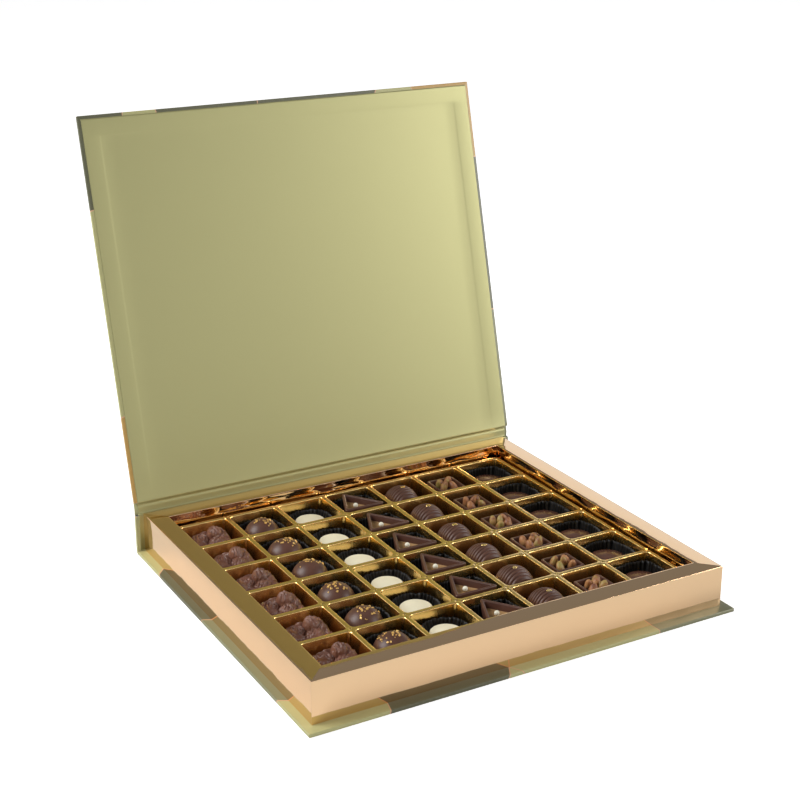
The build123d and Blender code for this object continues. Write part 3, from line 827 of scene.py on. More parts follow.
def foil_wall(name, finish, half_long, half_short, turn, crumple, seed, bulge):
    """Foil around one mitred wall: half_long runs along the wall, half_short to its outer face.

    The rim bulges inwards along the wall's middle.
    """
    shape = Shape()
    stations = 240
    outer_wave, rim_wave, mitre_gap = 0.09, 0.05, 0.03
    top = TRAY_HIGH[2]
    rows = []
    for inset, height, kind in foil_profile():
        row = []
        reach = half_long - inset - mitre_gap
        for k in range(stations + 1):
            x = -reach + 2 * reach * k / stations
            place = (x, inset + seed * 40, height)
            fade = min(1, (1 - abs(2 * k / stations - 1)) * 10)
            swell = bulge * (1 - (x / reach) ** 2)
            out, up = -half_short + inset, height
            if kind == "outer":
                out += outer_wave * (1 + wobble(place, 55)) * fade * min(1, (top - height) / 6)
            elif kind == "rim":
                up -= rim_wave * (1 + wobble(place, 30)) * fade
                out += swell * inset / RIM_WIDTH
            else:
                out += swell * max(0, 1 - (top - height) / 14)
                deep = min(1, max(0, (top - height - 2.2) / 3))
                slow = 0.5 + 0.5 * wobble(place, 24, 5.0)
                out += crumple * (foil_fold(x, height, seed) + 0.3 * slow) * deep * fade
            row.append((x, out, up))
        rows.append(row)
    shape.stack(rows, closed=False)
    rotate = Matrix.Rotation(radians(turn), 3, "Z")
    piece = shape.build(name, finish, "case_and_tray", "gold_foil", turn=rotate.to_4x4())
    lean_rim(piece, rotate, half_short)
    return piece


class BOX_OT_tray(bpy.types.Operator):
    """Wrap the tray's four mitred walls in metal foil"""

    bl_idname = "chocolate_box.tray"
    bl_label = "Tray"

    def execute(self, context):
        settings = context.scene.box_tray
        foil = metal_foil("gold_foil_paper", tuple(settings.foil), 0.06, 0.0007, 16.0)
        board = plain_board("tray_board", (0.50, 0.44, 0.36))
        for node in ("tray_floor", "tray_front_wall", "tray_right_wall", "tray_back_wall",
                     "tray_left_wall"):
            set_node_finish(node, board)
        set_node_finish("floor_lining", foil)
        half_x, half_y = TRAY_HIGH[0], TRAY_HIGH[1]
        crumple = settings.crumple / MM
        # Each wall's side, half length, distance from the middle, turn and bulge of its rim
        walls = (("front", half_x, half_y, 0, 1.5), ("right", half_y, half_x, 90, 0.8),
                 ("back", half_x, half_y, 180, 0.8), ("left", half_y, half_x, 270, 0.8))
        pieces = []
        for seed, (side, long, short, turn, bulge) in enumerate(walls, 1):
            pieces.append(foil_wall(f"foil_{side}_wall", foil, long, short, turn, crumple, seed,
                                    bulge))
        for piece in pieces:
            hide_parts("tray_foil")
        return {"FINISHED"}


# The insert
INSERT_CORNER = 6.0
OUTER_ROUND, SKIRT = 0.8, 4.0
POCKET_DRAFT = tan(radians(3.5))
POCKET_FOOT = 1.6
RIB_CROWN = 0.1


def gold_sheet(settings):
    """Metallised sheet, with painted shade that makes it darker and redder towards the pocket floors.
    """
    gold = tuple(settings.gold)
    finish = metal_foil("gold_sheet", gold, 0.24, 0.0008, 70.0, (1.0, 1.0, 0.25))
    nodes, links = finish.node_tree.nodes, finish.node_tree.links
    place = nodes.new("ShaderNodeSeparateXYZ")
    links.new(place_node(nodes), place.inputs["Vector"])
    level = nodes.new("ShaderNodeMapRange")
    level.inputs["From Min"].default_value = (RIB_TOP - 16) * MM
    level.inputs["From Max"].default_value = (RIB_TOP - 0.4) * MM
    links.new(place.outputs["Z"], level.inputs["Value"])
    # Painted shade and painted gold-on-gold reflection: the gold is darkened and reddened down the
    # pocket walls, deepest at the floors.
    tone = ramp(nodes, links, level.outputs["Result"], [
        (0.0, shade((gold[0], gold[1] * 0.88, gold[2] * 0.75), 0.42)),
        (0.6, shade((gold[0], gold[1] * 0.95, gold[2] * 0.9), 0.75)), (1.0, gold),
    ])
    links.new(tone, nodes["Principled BSDF"].inputs["Base Color"])
    return finish


def insert_outline(x, y, inset):
    """The nearest place on the insert's rounded outline, moved inwards."""
    core_x, core_y = INSERT_HIGH[0] - INSERT_CORNER, INSERT_HIGH[1] - INSERT_CORNER
    nearest = Vector((min(max(x, -core_x), core_x), min(max(y, -core_y), core_y)))
    away = Vector((x, y)) - nearest
    return nearest + away.normalized() * (INSERT_CORNER - inset)


def pocket_levels(rib):
    """Half width and height of a pocket's rings, from the rib's rounding to the floor's."""
    arc = quarter_round(4)
    depth = RIB_TOP - POCKET_FLOOR
    levels = [(POCKET_HALF + rib * (1 - out), RIB_TOP - RIB_CROWN - rib * (1 - up))
              for out, up in arc[::-1]]
    for share in (0.2, 0.4, 0.6, 0.8):
        down = rib + (depth - rib - POCKET_FOOT) * share
        levels.append((POCKET_HALF - down * POCKET_DRAFT, RIB_TOP - down))
    low_half = POCKET_HALF - depth * POCKET_DRAFT
    levels += [(low_half - POCKET_FOOT * (1 - out), POCKET_FLOOR + POCKET_FOOT * (1 - up))
               for out, up in arc]
    return levels


def formed_pocket(shape, column, row, rib, corner):
    """One pocket with its half of the ribs around it, and the insert's skirt where it ends there."""
    cx, cy = cell_centre(column, row)
    rings = []
    for half, height in pocket_levels(rib):
        radius = max(1.2, corner + (half - POCKET_HALF))
        rings.append(rounded_ring(half, half, radius, height, (cx, cy), 7, 8))
    edge = []
    borders = []
    for x, y, _ in rings[0]:
        dx, dy = x - cx, y - cy
        grow = PITCH / 2 / max(abs(dx), abs(dy))
        px, py = cx + dx * grow, cy + dy * grow
        at_x = abs(abs(px) - COLUMNS * PITCH / 2) < 0.01
        at_y = abs(abs(py) - ROWS * PITCH / 2) < 0.01
        borders.append(at_x or at_y)
        if at_x or at_y:
            px, py = insert_outline(px, py, OUTER_ROUND)
        edge.append((px, py, RIB_TOP))
    first = shape.stack([edge] + rings, end_cap=True)[0]
    steps = [(OUTER_ROUND * (1 - c), RIB_TOP - OUTER_ROUND * (1 - s))
             for c, s in quarter_round(4)[::-1]][1:]
    steps.append((0.0, RIB_TOP - SKIRT))
    for i in range(len(edge)):
        j = (i + 1) % len(edge)
        if not (borders[i] and borders[j]):
            continue
        before = (first[i], first[j])
        for inset, height in steps:
            ends = [(*insert_outline(edge[k][0], edge[k][1], inset), height) for k in (i, j)]
            after = shape.loop(ends)
            shape.faces.append((before[0], before[1], after[1], after[0]))
            before = after


class BOX_OT_insert(bpy.types.Operator):
    """Form the gold insert with its pockets"""

    bl_idname = "chocolate_box.insert"
    bl_label = "Insert"

    def execute(self, context):
        settings = context.scene.box_insert
        finish = gold_sheet(settings)
        shape = Shape()
        for column in range(COLUMNS):
            for row in range(ROWS):
                formed_pocket(shape, column, row, settings.rib_round / MM, settings.corner / MM)
        shape.build("formed_insert", finish, "insert", "gold_sheet", ["insert_tray"], thick=0.3)
        return {"FINISHED"}


# Paper cups
def pleated_cup(shape, centre, settings, foot, rim, height, square, seed):
    """One cup: a floor and a pleated wall that flares to a zigzag rim.

    square is how far the cup is pressed into the pocket's corners, at its foot and at its rim.
    """
    draw = Random(seed)
    pleats = settings.pleats
    depth = settings.pleat_depth / MM
    per, levels = 6, 8
    torn, rim_wave = 0.55, 0.8
    shifts = [draw.uniform(-0.25, 0.25) for _ in range(pleats)]
    swings = [draw.uniform(0.6, 1.3) for _ in range(pleats)]
    tears = [draw.uniform(-torn, torn) for _ in range(pleats)]
    rings = [round_ring(foot * share, CUP_FLOOR - 0.15, centre, pleats * per)
             for share in (0.35, 0.8)]
    for level in range(levels + 1):
        t = level / levels
        ring = []
        for k in range(pleats * per):
            number, phase = divmod(k, per)
            wave = 1 - abs(2 * phase / per - 1) * 2
            angle = 2 * pi * (k + shifts[number] * sin(pi * phase / per)) / (pleats * per)
            fold = depth * (0.2 + 0.8 * t)
            reach = foot + (rim - foot) * t ** 0.9 - fold + fold * wave * swings[number] * 0.8
            diagonal = max(abs(cos(angle)), abs(sin(angle)))
            reach *= 1 + (square[0] + (square[1] - square[0]) * t) * (1 / diagonal - 1)
            up = POCKET_FLOOR + 0.2 + height * t
            after = tears[(number + 1) % pleats]
            up += t * (tears[number] + (after - tears[number]) * phase / per)
            up += rim_wave * t * wobble((cos(angle) * 9, sin(angle) * 9, seed * 5), 8.0)
            ring.append((centre[0] + reach * cos(angle), centre[1] + reach * sin(angle), up))
        rings.append(ring)
    shape.stack(rings, start_cap=True)


class BOX_OT_cups(bpy.types.Operator):
    """Set pleated paper cups in four columns of pockets"""

    bl_idname = "chocolate_box.cups"
    bl_label = "Cups"

    def execute(self, context):
        settings = context.scene.box_cups
        finish = cup_paper(settings)
        # Each kind's column, foot and rim radius, height, and squareness at foot and rim
        kinds = (
            ("pleated_dome_cups", "dome_cups", 1, 14.2, 17.4, 13.4, (0.05, 0.35)),
            ("pleated_white_cups", "white_disc_cups", 2, 12.2, 17.0, 13.0, (0.0, 0.2)),
            ("pleated_triangle_cups", "triangle_cups", 3, 16.0, 17.7, 14.6, (0.5, 0.62)),
            ("pleated_milk_cups", "milk_disc_cups", 6, 15.2, 17.7, 14.6, (0.05, 0.5)),
        )
        for name, node, column, foot, rim, height, square in kinds:
            shape = Shape()
            for row in range(ROWS):
                pleated_cup(shape, cell_centre(column, row), settings, foot, rim, height, square,
                            column * 10 + row)
            shape.build(name, finish, "insert", "cup_paper", [node], crease=20, thick=0.1)
        return {"FINISHED"}


# Chocolates
CLUSTER_HALF, CLUSTER_TOP = 14.9, 21.9
DOME_RADIUS, DOME_HEIGHT = 13.6, 20.6
WHITE_RADIUS, WHITE_HEIGHT = 11.3, 11.2
MILK_RADIUS, MILK_HEIGHT, MILK_CROWN = 14.6, 12.0, 2.7
BARREL_RADIUS, BARREL_HEIGHT, BARREL_HALF = 11.6, 21.8, 12.0
BARREL_WAIST, BARREL_CROWN, BARREL_RINGS = 1.7, 4.3, 8
TRIANGLE = ((-17.3, -14.2), (17.3, -14.2), (-4.8, 16.1))
TRIANGLE_HEIGHT, TRIANGLE_WALL, TRIANGLE_DRAFT = 19.6, 2.2, tan(radians(7.0))
CARAMEL_DROP, PEARL_RADIUS = 5.5, 1.9
SQUARE_SIDE, SQUARE_HEIGHT, SQUARE_WALL = 22.8, 16.0, 1.7
SQUARE_DRAFT = tan(radians(5.0))
DARK_DROP = 4.5

# Lumps of a cluster: place across and along, radius and height
LUMPS = (
    (3.6, 4.8, 5.6, 21.0), (-7.5, 5.0, 7.6, 16.6), (-9.5, -4.0, 6.0, 14.6), (10.0, 7.6, 5.6, 17.2),
    (9.5, 0.5, 5.6, 16.6), (2.0, -5.0, 7.0, 16.8), (-5.0, -10.0, 6.0, 14.0), (4.0, -11.0, 5.5, 14.6),
    (11.0, -8.0, 5.2, 14.4), (-2.0, 11.5, 5.4, 15.4), (-11.0, 11.0, 5.0, 14.0),
)

# One ring of a barrel: share of its width, and how far the surface lies under the ring's top
RING_SHARES = ((0.0, 0.95), (0.06, 0.75), (0.14, 0.25), (0.26, 0.03), (0.45, 0.0), (0.7, 0.06),
               (0.84, 0.3), (0.94, 0.75))

# Corners and faces of a crumb
CRUMB_CORNERS = ((-1, -1, -1), (1, -1, -1), (1, 1, -1), (-1, 1, -1),
                 (-1, -1, 1), (1, -1, 1), (1, 1, 1), (-1, 1, 1))
CRUMB_FACES = ((0, 3, 2, 1), (4, 5, 6, 7), (0, 1, 5, 4), (1, 2, 6, 5), (2, 3, 7, 6), (3, 0, 4, 7))


def revolved(shape, profile, centre, steps=64):
    """A turned form: the profile gives radius and height from the foot's middle to the top's."""
    rings = [round_ring(max(radius, 0.02), height, centre, steps) for radius, height in profile]
    shape.stack(rings, start_cap=True, end_cap=True)


def turned_column(column, profile):
    """The same turned chocolate in each cup of a column; its heights start at the cup's floor."""
    shape = Shape()
    raised = [(radius, CUP_FLOOR + height) for radius, height in profile]
    for row in range(ROWS):
        revolved(shape, raised, cell_centre(column, row))
    return shape


def dome_profile():
    """A round dome on a short soft foot."""
    radius, foot = DOME_RADIUS, DOME_HEIGHT - DOME_RADIUS
    profile = [(4.0, 0), (radius - 1.5, 0), (radius - 0.5, 0.4), (radius - 0.05, 1.4)]
    profile.append((radius, foot * 0.6))
    for k in range(17):
        angle = radians(90 * k / 16)
        profile.append((radius * cos(angle), foot + radius * sin(angle)))
    return profile


def white_disc_profile():
    """A disc with a thin raised edge around its top."""
    radius, height = WHITE_RADIUS, WHITE_HEIGHT
    return [
        (3, 0), (radius - 0.9, 0), (radius - 0.5, 0.5), (radius - 0.1, 5),
        (radius, height - 1.2), (radius - 0.15, height - 0.5), (radius - 0.6, height - 0.08),
        (radius - 1.1, height), (radius - 1.6, height - 0.12), (radius - 2.2, height - 0.3),
        (radius - 4.5, height - 0.18), (radius - 8, height - 0.06), (0.3, height - 0.02),
    ]


def milk_disc_profile():
    """A wide disc with a gently crowned top."""
    radius = MILK_RADIUS
    profile = [(3, 0), (radius - 1.6, 0), (radius - 0.5, 0.5), (radius, 1.8), (radius, 6.4),
               (radius - 0.2, 8.0), (radius - 0.9, 9.2)]
    for share in (0.86, 0.72, 0.56, 0.4, 0.24, 0.1, 0.02):
        profile.append((radius * share, MILK_HEIGHT - MILK_CROWN * share * share))
    return profile


def lump_level(x, y):
    """Height of the heaped lumps of a cluster, run smoothly into each other."""
    sharp, middle, floor = 1.5, 14, 12.8
    total = exp(sharp * (floor - middle))
    for cx, cy, size, high in LUMPS:
        away = hypot(x - cx, y - cy) / size
        if away < 1:
            total += exp(sharp * (high - middle - size * (1 - (1 - away * away) ** 0.5)))
    return middle + log(total) / sharp


def rough_cluster(shape, centre, seed):
    """One heap of nuts and crisp under chocolate, with a knob behind and curls on its left."""
    around, along = 150, 50
    curl_x, curl_y, curl_pitch, curl_depth, grit = -7.5, 3.0, 2.3, 0.7, 0.9
    rings = []
    for j in range(along, 0, -1):
        t = j / along
        ring = []
        for k in range(around):
            angle = 2 * pi * k / around
            c, s = cos(angle), sin(angle)
            square = (abs(c) ** 5 + abs(s) ** 5) ** (-1 / 5)
            reach = CLUSTER_HALF * square * (1 + 0.05 * wobble((c * 3, s * 3, seed), 1.0, 2.0))
            x, y = reach * c * t, reach * s * t
            level = lump_level(x, y)
            place = (x + seed * 31, y - seed * 17, level)
            travel = hypot(x - curl_x, y - curl_y) + 1.6 * wobble(place, 5.0, 3.0)
            curls = curl_depth * sin(2 * pi * travel / curl_pitch)
            crisp = grit * abs(wobble(place, 2.2)) + grit * wobble(place, 1.4, 4.0)
            right = min(1, max(0, (x - y + 8) / 14))
            level += curls * (1 - 0.65 * right) + crisp * (0.35 + 0.65 * right)
            level = min(level, CLUSTER_TOP) * (1 - t ** 12) ** 0.4
            ring.append((centre[0] + x, centre[1] + y, POCKET_FLOOR + max(0.0, level)))
        rings.append(ring)
    shape.stack(rings, start_cap=True, end_cap=True)


def arch_ring(radius, height, y, centre, floor, steps=26):
    """The arched section of a barrel at one place along it."""
    spring = height - radius
    points = [(radius * cos(pi * k / steps), spring + radius * sin(pi * k / steps))
              for k in range(steps + 1)]
    points += [(-radius, spring * share) for share in (0.5, 0.0)]
    points += [(-radius + 2 * radius * k / 5, 0) for k in range(1, 5)]
    points += [(radius, spring * share) for share in (0.0, 0.5)]
    return [(centre[0] + x, centre[1] + y, floor + z) for x, z in points]


def ridged_barrel(shape, centre):
    """One barrel with rings across it and soft ends, lower and narrower towards them."""
    half, soft, steps = BARREL_HALF, 0.9, 5
    soft_drop = soft * 0.8
    ring_width = (2 * half - 2 * soft) / BARREL_RINGS
    front, back = [], []
    for k in range(steps):
        angle = pi / 2 * k / steps
        front.append((-half + soft * (1 - cos(angle)), -soft_drop * (1 - sin(angle))))
        angle = pi / 2 * (1 - k / steps)
        back.append((half - soft * (1 - cos(angle)), -soft_drop * (1 - sin(angle))))
    stations = front
    for ring in range(BARREL_RINGS):
        low = -half + soft + ring_width * ring
        stations += [(low + ring_width * share, -sink) for share, sink in RING_SHARES]
    stations += back + [(half, -soft_drop)]
    rings = []
    for y, rise in stations:
        off = (y / half) ** 2
        rings.append(arch_ring(BARREL_RADIUS - BARREL_WAIST * off + rise,
                               BARREL_HEIGHT - BARREL_CROWN * off + rise, y, centre, POCKET_FLOOR))
    shape.stack(rings, start_cap=True, end_cap=True)


def triangle_shell(shape, centre):
    """One triangular shell with a soft rim and open top."""
    height, wall, draft = TRIANGLE_HEIGHT, TRIANGLE_WALL, TRIANGLE_DRAFT
    soft, inside, depth = 0.95, 0.9, 7.0
    rings = []

    def ring(inset, level, radius=1.2):
        rings.append(rounded_polygon(TRIANGLE, inset, radius, CUP_FLOOR + level, centre, 6))

    ring(height * draft, 0)
    ring(height * draft * 0.5, height / 2)
    for out, up in quarter_round(4):
        ring(soft * (1 - out) + soft * draft, height - soft * (1 - up))
    for out, up in quarter_round(4)[::-1]:
        ring(wall - soft * (1 - out), height - soft * (1 - up), inside)
    ring(wall + depth * draft, height - depth, inside)
    ring(wall + (depth + 1) * draft + 3.0, height - depth - 0.4, inside)
    shape.stack(rings, start_cap=True, end_cap=True)


def triangle_filling(shape, centre):
    """Caramel in one triangular shell, drawn up a little along the walls."""
    rings = []
    for inset, drop in ((0.02, 5.0), (0.4, 5.3), (1.1, 5.5), (2.6, 5.55), (4.2, 5.45)):
        rings.append(rounded_polygon(
            TRIANGLE, TRIANGLE_WALL + drop * TRIANGLE_DRAFT + inset, 0.8,
            CUP_FLOOR + TRIANGLE_HEIGHT - drop, centre, 6,
        ))
    shape.stack(rings, end_cap=True)


def sugar_pearl(shape, centre, draw):
    """One pearl on the caramel, a little to the left and the front."""
    off, stray = 2.4, 0.3
    place = (centre[0] - off + draw.uniform(-stray, stray),
             centre[1] - off + draw.uniform(-stray, stray))
    middle = CUP_FLOOR + TRIANGLE_HEIGHT - CARAMEL_DROP + PEARL_RADIUS
    profile = [(PEARL_RADIUS * sin(radians(a)), middle - PEARL_RADIUS * cos(radians(a)))
               for a in range(8, 180, 12)]
    revolved(shape, profile, place, 24)


def fluted_shell(shape, centre):
    """One square shell with upright flutes outside and a soft rim."""
    height, wall, draft = SQUARE_HEIGHT, SQUARE_WALL, SQUARE_DRAFT
    half = SQUARE_SIDE / 2
    corner, plain_end, flute_pitch, soft, depth = 1.1, 1.2, half / 3.5, 0.5, 5.0
    steps = 56
    rings = []

    def ring(inset, level, flute=0.0):
        points = rounded_ring(half - inset, half - inset, corner, 0, (0, 0), 3, steps)
        out = []
        for x, y, _ in points:
            along = x if abs(y) > abs(x) else y
            near = min(1, max(0, (half - plain_end - abs(along)) / 0.8))
            groove = flute * near * (0.5 - 0.5 * cos(2 * pi * along / flute_pitch))
            scale = 1 - groove / half
            out.append((centre[0] + x * (scale if abs(x) >= abs(y) else 1),
                        centre[1] + y * (scale if abs(y) > abs(x) else 1),
                        POCKET_FLOOR + level))
        rings.append(out)

    ring(height * draft, 0, 0.5)
    ring(height * draft * 0.5, height * 0.5, 0.6)
    ring(2.4 * draft, height - 2.4, 0.6)
    ring(1.9 * draft, height - 1.7)
    for out, up in quarter_round(3):
        ring(soft * (1 - out), height - soft * (1 - up))
    for out, up in quarter_round(3)[::-1]:
        ring(wall - soft * (1 - out), height - soft * (1 - up))
    ring(wall + depth * draft, height - depth)
    shape.stack(rings, start_cap=True, end_cap=True)


def dark_filling(shape, centre):
    """The dark filling of one square shell, level but for a slight crown."""
    half = SQUARE_SIDE / 2 - SQUARE_WALL - DARK_DROP * SQUARE_DRAFT
    level = POCKET_FLOOR + SQUARE_HEIGHT - DARK_DROP
    shape.stack([
        rounded_ring(half, half, 0.6, level, centre, 3, 4),
        rounded_ring(half * 0.5, half * 0.5, 0.4, level + 0.05, centre, 3, 4),
    ], end_cap=True)


def nut_kernel(shape, place, size, lean, turn, seed):
    """One kernel: a pointed egg with a shallow seam."""
    length, width = size
    flatness, bend = 0.82, 0.10
    rotate = Matrix.Rotation(turn, 3, "Z") @ Matrix.Rotation(lean, 3, "X")
    rings = []
    around, along = 20, 14
    for j in range(1, along):
        t = j / along
        up = -cos(pi * t)
        girth = sin(pi * t) ** 0.85 * (1.06 - 0.14 * up)
        bent = Vector((bend * length * (1 - up * up), 0, 0))
        ring = []
        for k in range(around):
            angle = 2 * pi * k / around
            seam = 1 - 0.13 * max(0, cos(angle)) ** 8 - 0.10 * max(0, -cos(angle)) ** 8
            rough = 1 + 0.07 * wobble((cos(angle) * 3, sin(angle) * 3, up * 3), 1.0, seed)
            reach = width / 2 * girth * seam * rough
            point = Vector((reach * cos(angle), reach * flatness * sin(angle), length / 2 * up))
            ring.append(tuple(rotate @ (point + bent) + place))
        rings.append(ring)
    shape.stack(rings, start_cap=True, end_cap=True)


def kernel_heap(heaps, centre, row, draw):
    """Four leaning kernels with a smaller one on top, green and brown by turns."""
    level = POCKET_FLOOR + SQUARE_HEIGHT - DARK_DROP
    spot_shares = ((-0.19, 0.19), (0.19, -0.19), (-0.19, -0.19), (0.19, 0.19), (0.0, 0.02))
    for number, (across, along) in enumerate(spot_shares):
        size, lift = (draw.uniform(9.6, 11.4), draw.uniform(6.0, 7.2)), 2.9
        lean = draw.uniform(0.15, 0.55)
        turn = draw.uniform(0, 2 * pi)
        if number == len(spot_shares) - 1:
            size, lift = (8.5, 5.4), 4.4
        place = Vector((centre[0] + across * SQUARE_SIDE, centre[1] + along * SQUARE_SIDE,
                        level + lift))
        nut_kernel(heaps[(number + row) % 2], place, size, lean, turn, row * 5 + number)


def crumb(shape, centre, drift, draw):
    """One small uneven block that lies on a dome, near the place that drift points to."""
    scatter = 0.34
    up = (drift + Vector((draw.gauss(0, scatter), draw.gauss(0, scatter), 0))).normalized()
    size = draw.uniform(0.4, 1.0)
    middle = Vector((*centre, CUP_FLOOR + DOME_HEIGHT - DOME_RADIUS))
    spot = middle + up * (DOME_RADIUS + size * 0.2)
    block = []
    for signs in CRUMB_CORNERS:
        stray = [sign * size * draw.uniform(0.4, 1.0) for sign in signs]
        stray[2] *= 0.55
        block.append(Vector(stray))
    rotate = up.to_track_quat("Z", "Y").to_matrix()
    rotate = rotate @ Matrix.Rotation(draw.uniform(0, 6), 3, "Z")
    corners = shape.loop([spot + rotate @ corner for corner in block])
    for face in CRUMB_FACES:
        shape.faces.append(tuple(corners[k] for k in face))


def gold_flake(shape, centre, row, draw):
    """One ragged leaf that droops a little over a barrel's top."""
    radius, narrow, steps = 2.1, 0.8, 14
    cx = centre[0] + draw.uniform(-0.6, 0.6)
    cy = centre[1] + draw.uniform(-1.0, 1.0)
    top = POCKET_FLOOR + BARREL_HEIGHT - 0.1
    rings = []
    for share in (0.15, 0.6, 1.0):
        ring = []
        for k in range(steps):
            angle = 2 * pi * k / steps
            ragged = 1 + 0.35 * wobble((cos(angle), sin(angle), row), 0.45, row * 1.7)
            reach = radius * share * ragged
            x, y = reach * cos(angle), narrow * reach * sin(angle)
            lift = 0.1 + 0.09 * wobble((x, y, row), 0.8, 2.0) - x * x / 26
            ring.append((cx + x, cy + y, top + lift))
        rings.append(ring)
    shape.stack(rings, start_cap=True)


class BOX_OT_plain_pieces(bpy.types.Operator):
    """Make the clusters, domes, discs and barrels"""

    bl_idname = "chocolate_box.plain_pieces"
    bl_label = "Clusters, domes, discs and barrels"

    def execute(self, context):
        settings = context.scene.box_chocolates
        milk = tuple(settings.milk)
        smooth = chocolate("milk_chocolate", milk)
        rough = chocolate("cluster_chocolate", shade(milk, 1.75), 0.26, 420.0, 0.0012, 0.2)
        white = chocolate("white_chocolate", tuple(settings.white), 0.42, 200.0, 0.00008, 0.04)
        glossy = chocolate("glossy_milk_chocolate", shade(milk, 1.05), 0.24, 120.0, 0.00010, 0.08)

        clusters, barrels = Shape(), Shape()
        for row in range(ROWS):
            rough_cluster(clusters, cell_centre(0, row), row + 1)
            ridged_barrel(barrels, cell_centre(4, row))
        domes = turned_column(1, dome_profile())
        white_discs = turned_column(2, white_disc_profile())
        milk_discs = turned_column(6, milk_disc_profile())

        clusters.build("rough_nut_clusters", rough, "nut_cluster_pieces", "milk_chocolate",
                       ["nut_clusters"], crease=60)
        domes.build("smooth_domes", smooth, "crumb_dome_pieces", "milk_chocolate", ["crumb_domes"])
        white_discs.build("edged_white_discs", white, "white_disc_pieces", "white_chocolate",
                          ["white_discs"])
        milk_discs.build("smooth_milk_discs", glossy, "milk_disc_pieces", "milk_chocolate",
                         ["milk_discs"])
        barrels.build("soft_barrels", smooth, "ribbed_barrel_pieces", "milk_chocolate",
                      ["ribbed_barrels"], crease=50)
        return {"FINISHED"}


class BOX_OT_filled_pieces(bpy.types.Operator):
    """Make the triangular and square shells with what they hold"""

    bl_idname = "chocolate_box.filled_pieces"
    bl_label = "Filled shells"

    def execute(self, context):
        settings = context.scene.box_chocolates
        milk = tuple(settings.milk)
        shell = chocolate("shell_chocolate", shade(milk, 0.95), 0.33)
        dark = chocolate("dark_filling", shade(milk, 0.55), 0.5, 400.0, 0.0003)
        caramel = chocolate("caramel_cream", tuple(settings.caramel), 0.4, 150.0, 0.0001, 0.06)
        pearl = grained("sugar_pearl", (0.88, 0.84, 0.68), 0.3, 0.0, 900.0, 0.00005, 0.5)
        green_skin = kernel_skin("pistachio_skin", [
            (0.30, (0.10, 0.035, 0.03)), (0.46, (0.32, 0.14, 0.05)), (0.58, (0.38, 0.27, 0.08)),
            (0.74, (0.26, 0.25, 0.06)),
        ])
        brown_skin = kernel_skin("roasted_skin", [
            (0.30, (0.12, 0.04, 0.03)), (0.50, (0.36, 0.15, 0.06)), (0.70, (0.50, 0.26, 0.10)),
        ])

        triangles, fillings, pearls = Shape(), Shape(), Shape()
        squares, darks, green, brown = Shape(), Shape(), Shape(), Shape()
        draw = Random(5)
        for row in range(ROWS):
            centre = cell_centre(3, row)
            triangle_shell(triangles, centre)
            triangle_filling(fillings, centre)
            sugar_pearl(pearls, centre, draw)
            centre = cell_centre(5, row)
            fluted_shell(squares, centre)
            dark_filling(darks, centre)
            kernel_heap((green, brown), centre, row, draw)

        triangles.build("soft_triangle_shells", shell, "triangle_pieces", "milk_chocolate",
                        ["triangle_shells"], crease=50)
        fillings.build("caramel_pools", caramel, "triangle_pieces", "caramel",
                       ["caramel_fillings"])
        pearls.build("smooth_pearls", pearl, "triangle_pieces", "sugar_pearl", ["sugar_pearls"])
        squares.build("fluted_square_shells", shell, "nut_square_pieces", "milk_chocolate",
                      ["square_shells"], crease=50)
        darks.build("dark_pools", dark, "nut_square_pieces", "dark_chocolate", ["dark_fillings"])
        green.build("green_kernels", green_skin, "nut_square_pieces", "pistachio",
                    ["pistachio_kernels"], crease=60)
        brown.build("brown_kernels", brown_skin, "nut_square_pieces", "roasted_nut",
                    ["roasted_kernels"], crease=60)
        return {"FINISHED"}


class BOX_OT_toppings(bpy.types.Operator):
    """Strew crumbs on the domes and lay gold leaf on the barrels"""

    bl_idname = "chocolate_box.toppings"
    bl_label = "Crumbs and gold leaf"

    def execute(self, context):
        settings = context.scene.box_chocolates
        gold_crumb = grained("gold_crumb", (0.82, 0.52, 0.16), 0.38, 0.3, 900.0, 0.0002, 0.8)
        leaf = metal_foil("gold_leaf", (0.90, 0.66, 0.28), 0.25, 0.0006, 700.0)
        draw = Random(11)
        crumbs, flakes = Shape(), Shape()
        for row in range(ROWS):
            drift = Vector((draw.uniform(-0.18, 0.18), draw.uniform(-0.18, 0.18), 1)).normalized()
            for _ in range(settings.crumbs_per_dome):
                crumb(crumbs, cell_centre(1, row), drift, draw)
        for row in range(ROWS):
            gold_flake(flakes, cell_centre(4, row), row, draw)
        crumbs.build("strewn_crumbs", gold_crumb, "crumb_dome_pieces", "gold_crumb",
                     ["dome_crumbs"], crease=25)
        flakes.build("ragged_gold_leaf", leaf, "ribbed_barrel_pieces", "gold_leaf",
                     ["gold_flakes"], crease=20, thick=0.05)
        return {"FINISHED"}


# The stage
def pale_surface(name, seen, mirrored):
    """A pale matt surface that keeps shadows and shows near white behind the object.

    seen is its glow for the camera, and mirrored its glow in shiny surfaces.
    """
    finish, nodes, links, shader = finish_nodes(name, (0.80, 0.80, 0.80), 0.9)
    path = nodes.new("ShaderNodeLightPath")
    glow = nodes.new("ShaderNodeMath")
    glow.operation = "MULTIPLY"
    links.new(path.outputs["Is Camera Ray"], glow.inputs[0])
    glow.inputs[1].default_value = seen
    total = nodes.new("ShaderNodeMath")
    total.operation = "MULTIPLY_ADD"
    links.new(path.outputs["Is Glossy Ray"], total.inputs[0])
    total.inputs[1].default_value = mirrored
    links.new(glow.outputs["Value"], total.inputs[2])
    shader.inputs["Emission Color"].default_value = (1, 1, 1, 1)
    links.new(total.outputs["Value"], shader.inputs["Emission Strength"])
    return finish


def stage_piece(name, corners, faces, finish):
    """A surface of the studio around the object."""
    mesh = bpy.data.meshes.new(name)
    mesh.from_pydata(corners, [], faces)
    mesh.materials.append(finish)
    piece = bpy.data.objects.new(name, mesh)
    bpy.context.scene.collection.objects.link(piece)


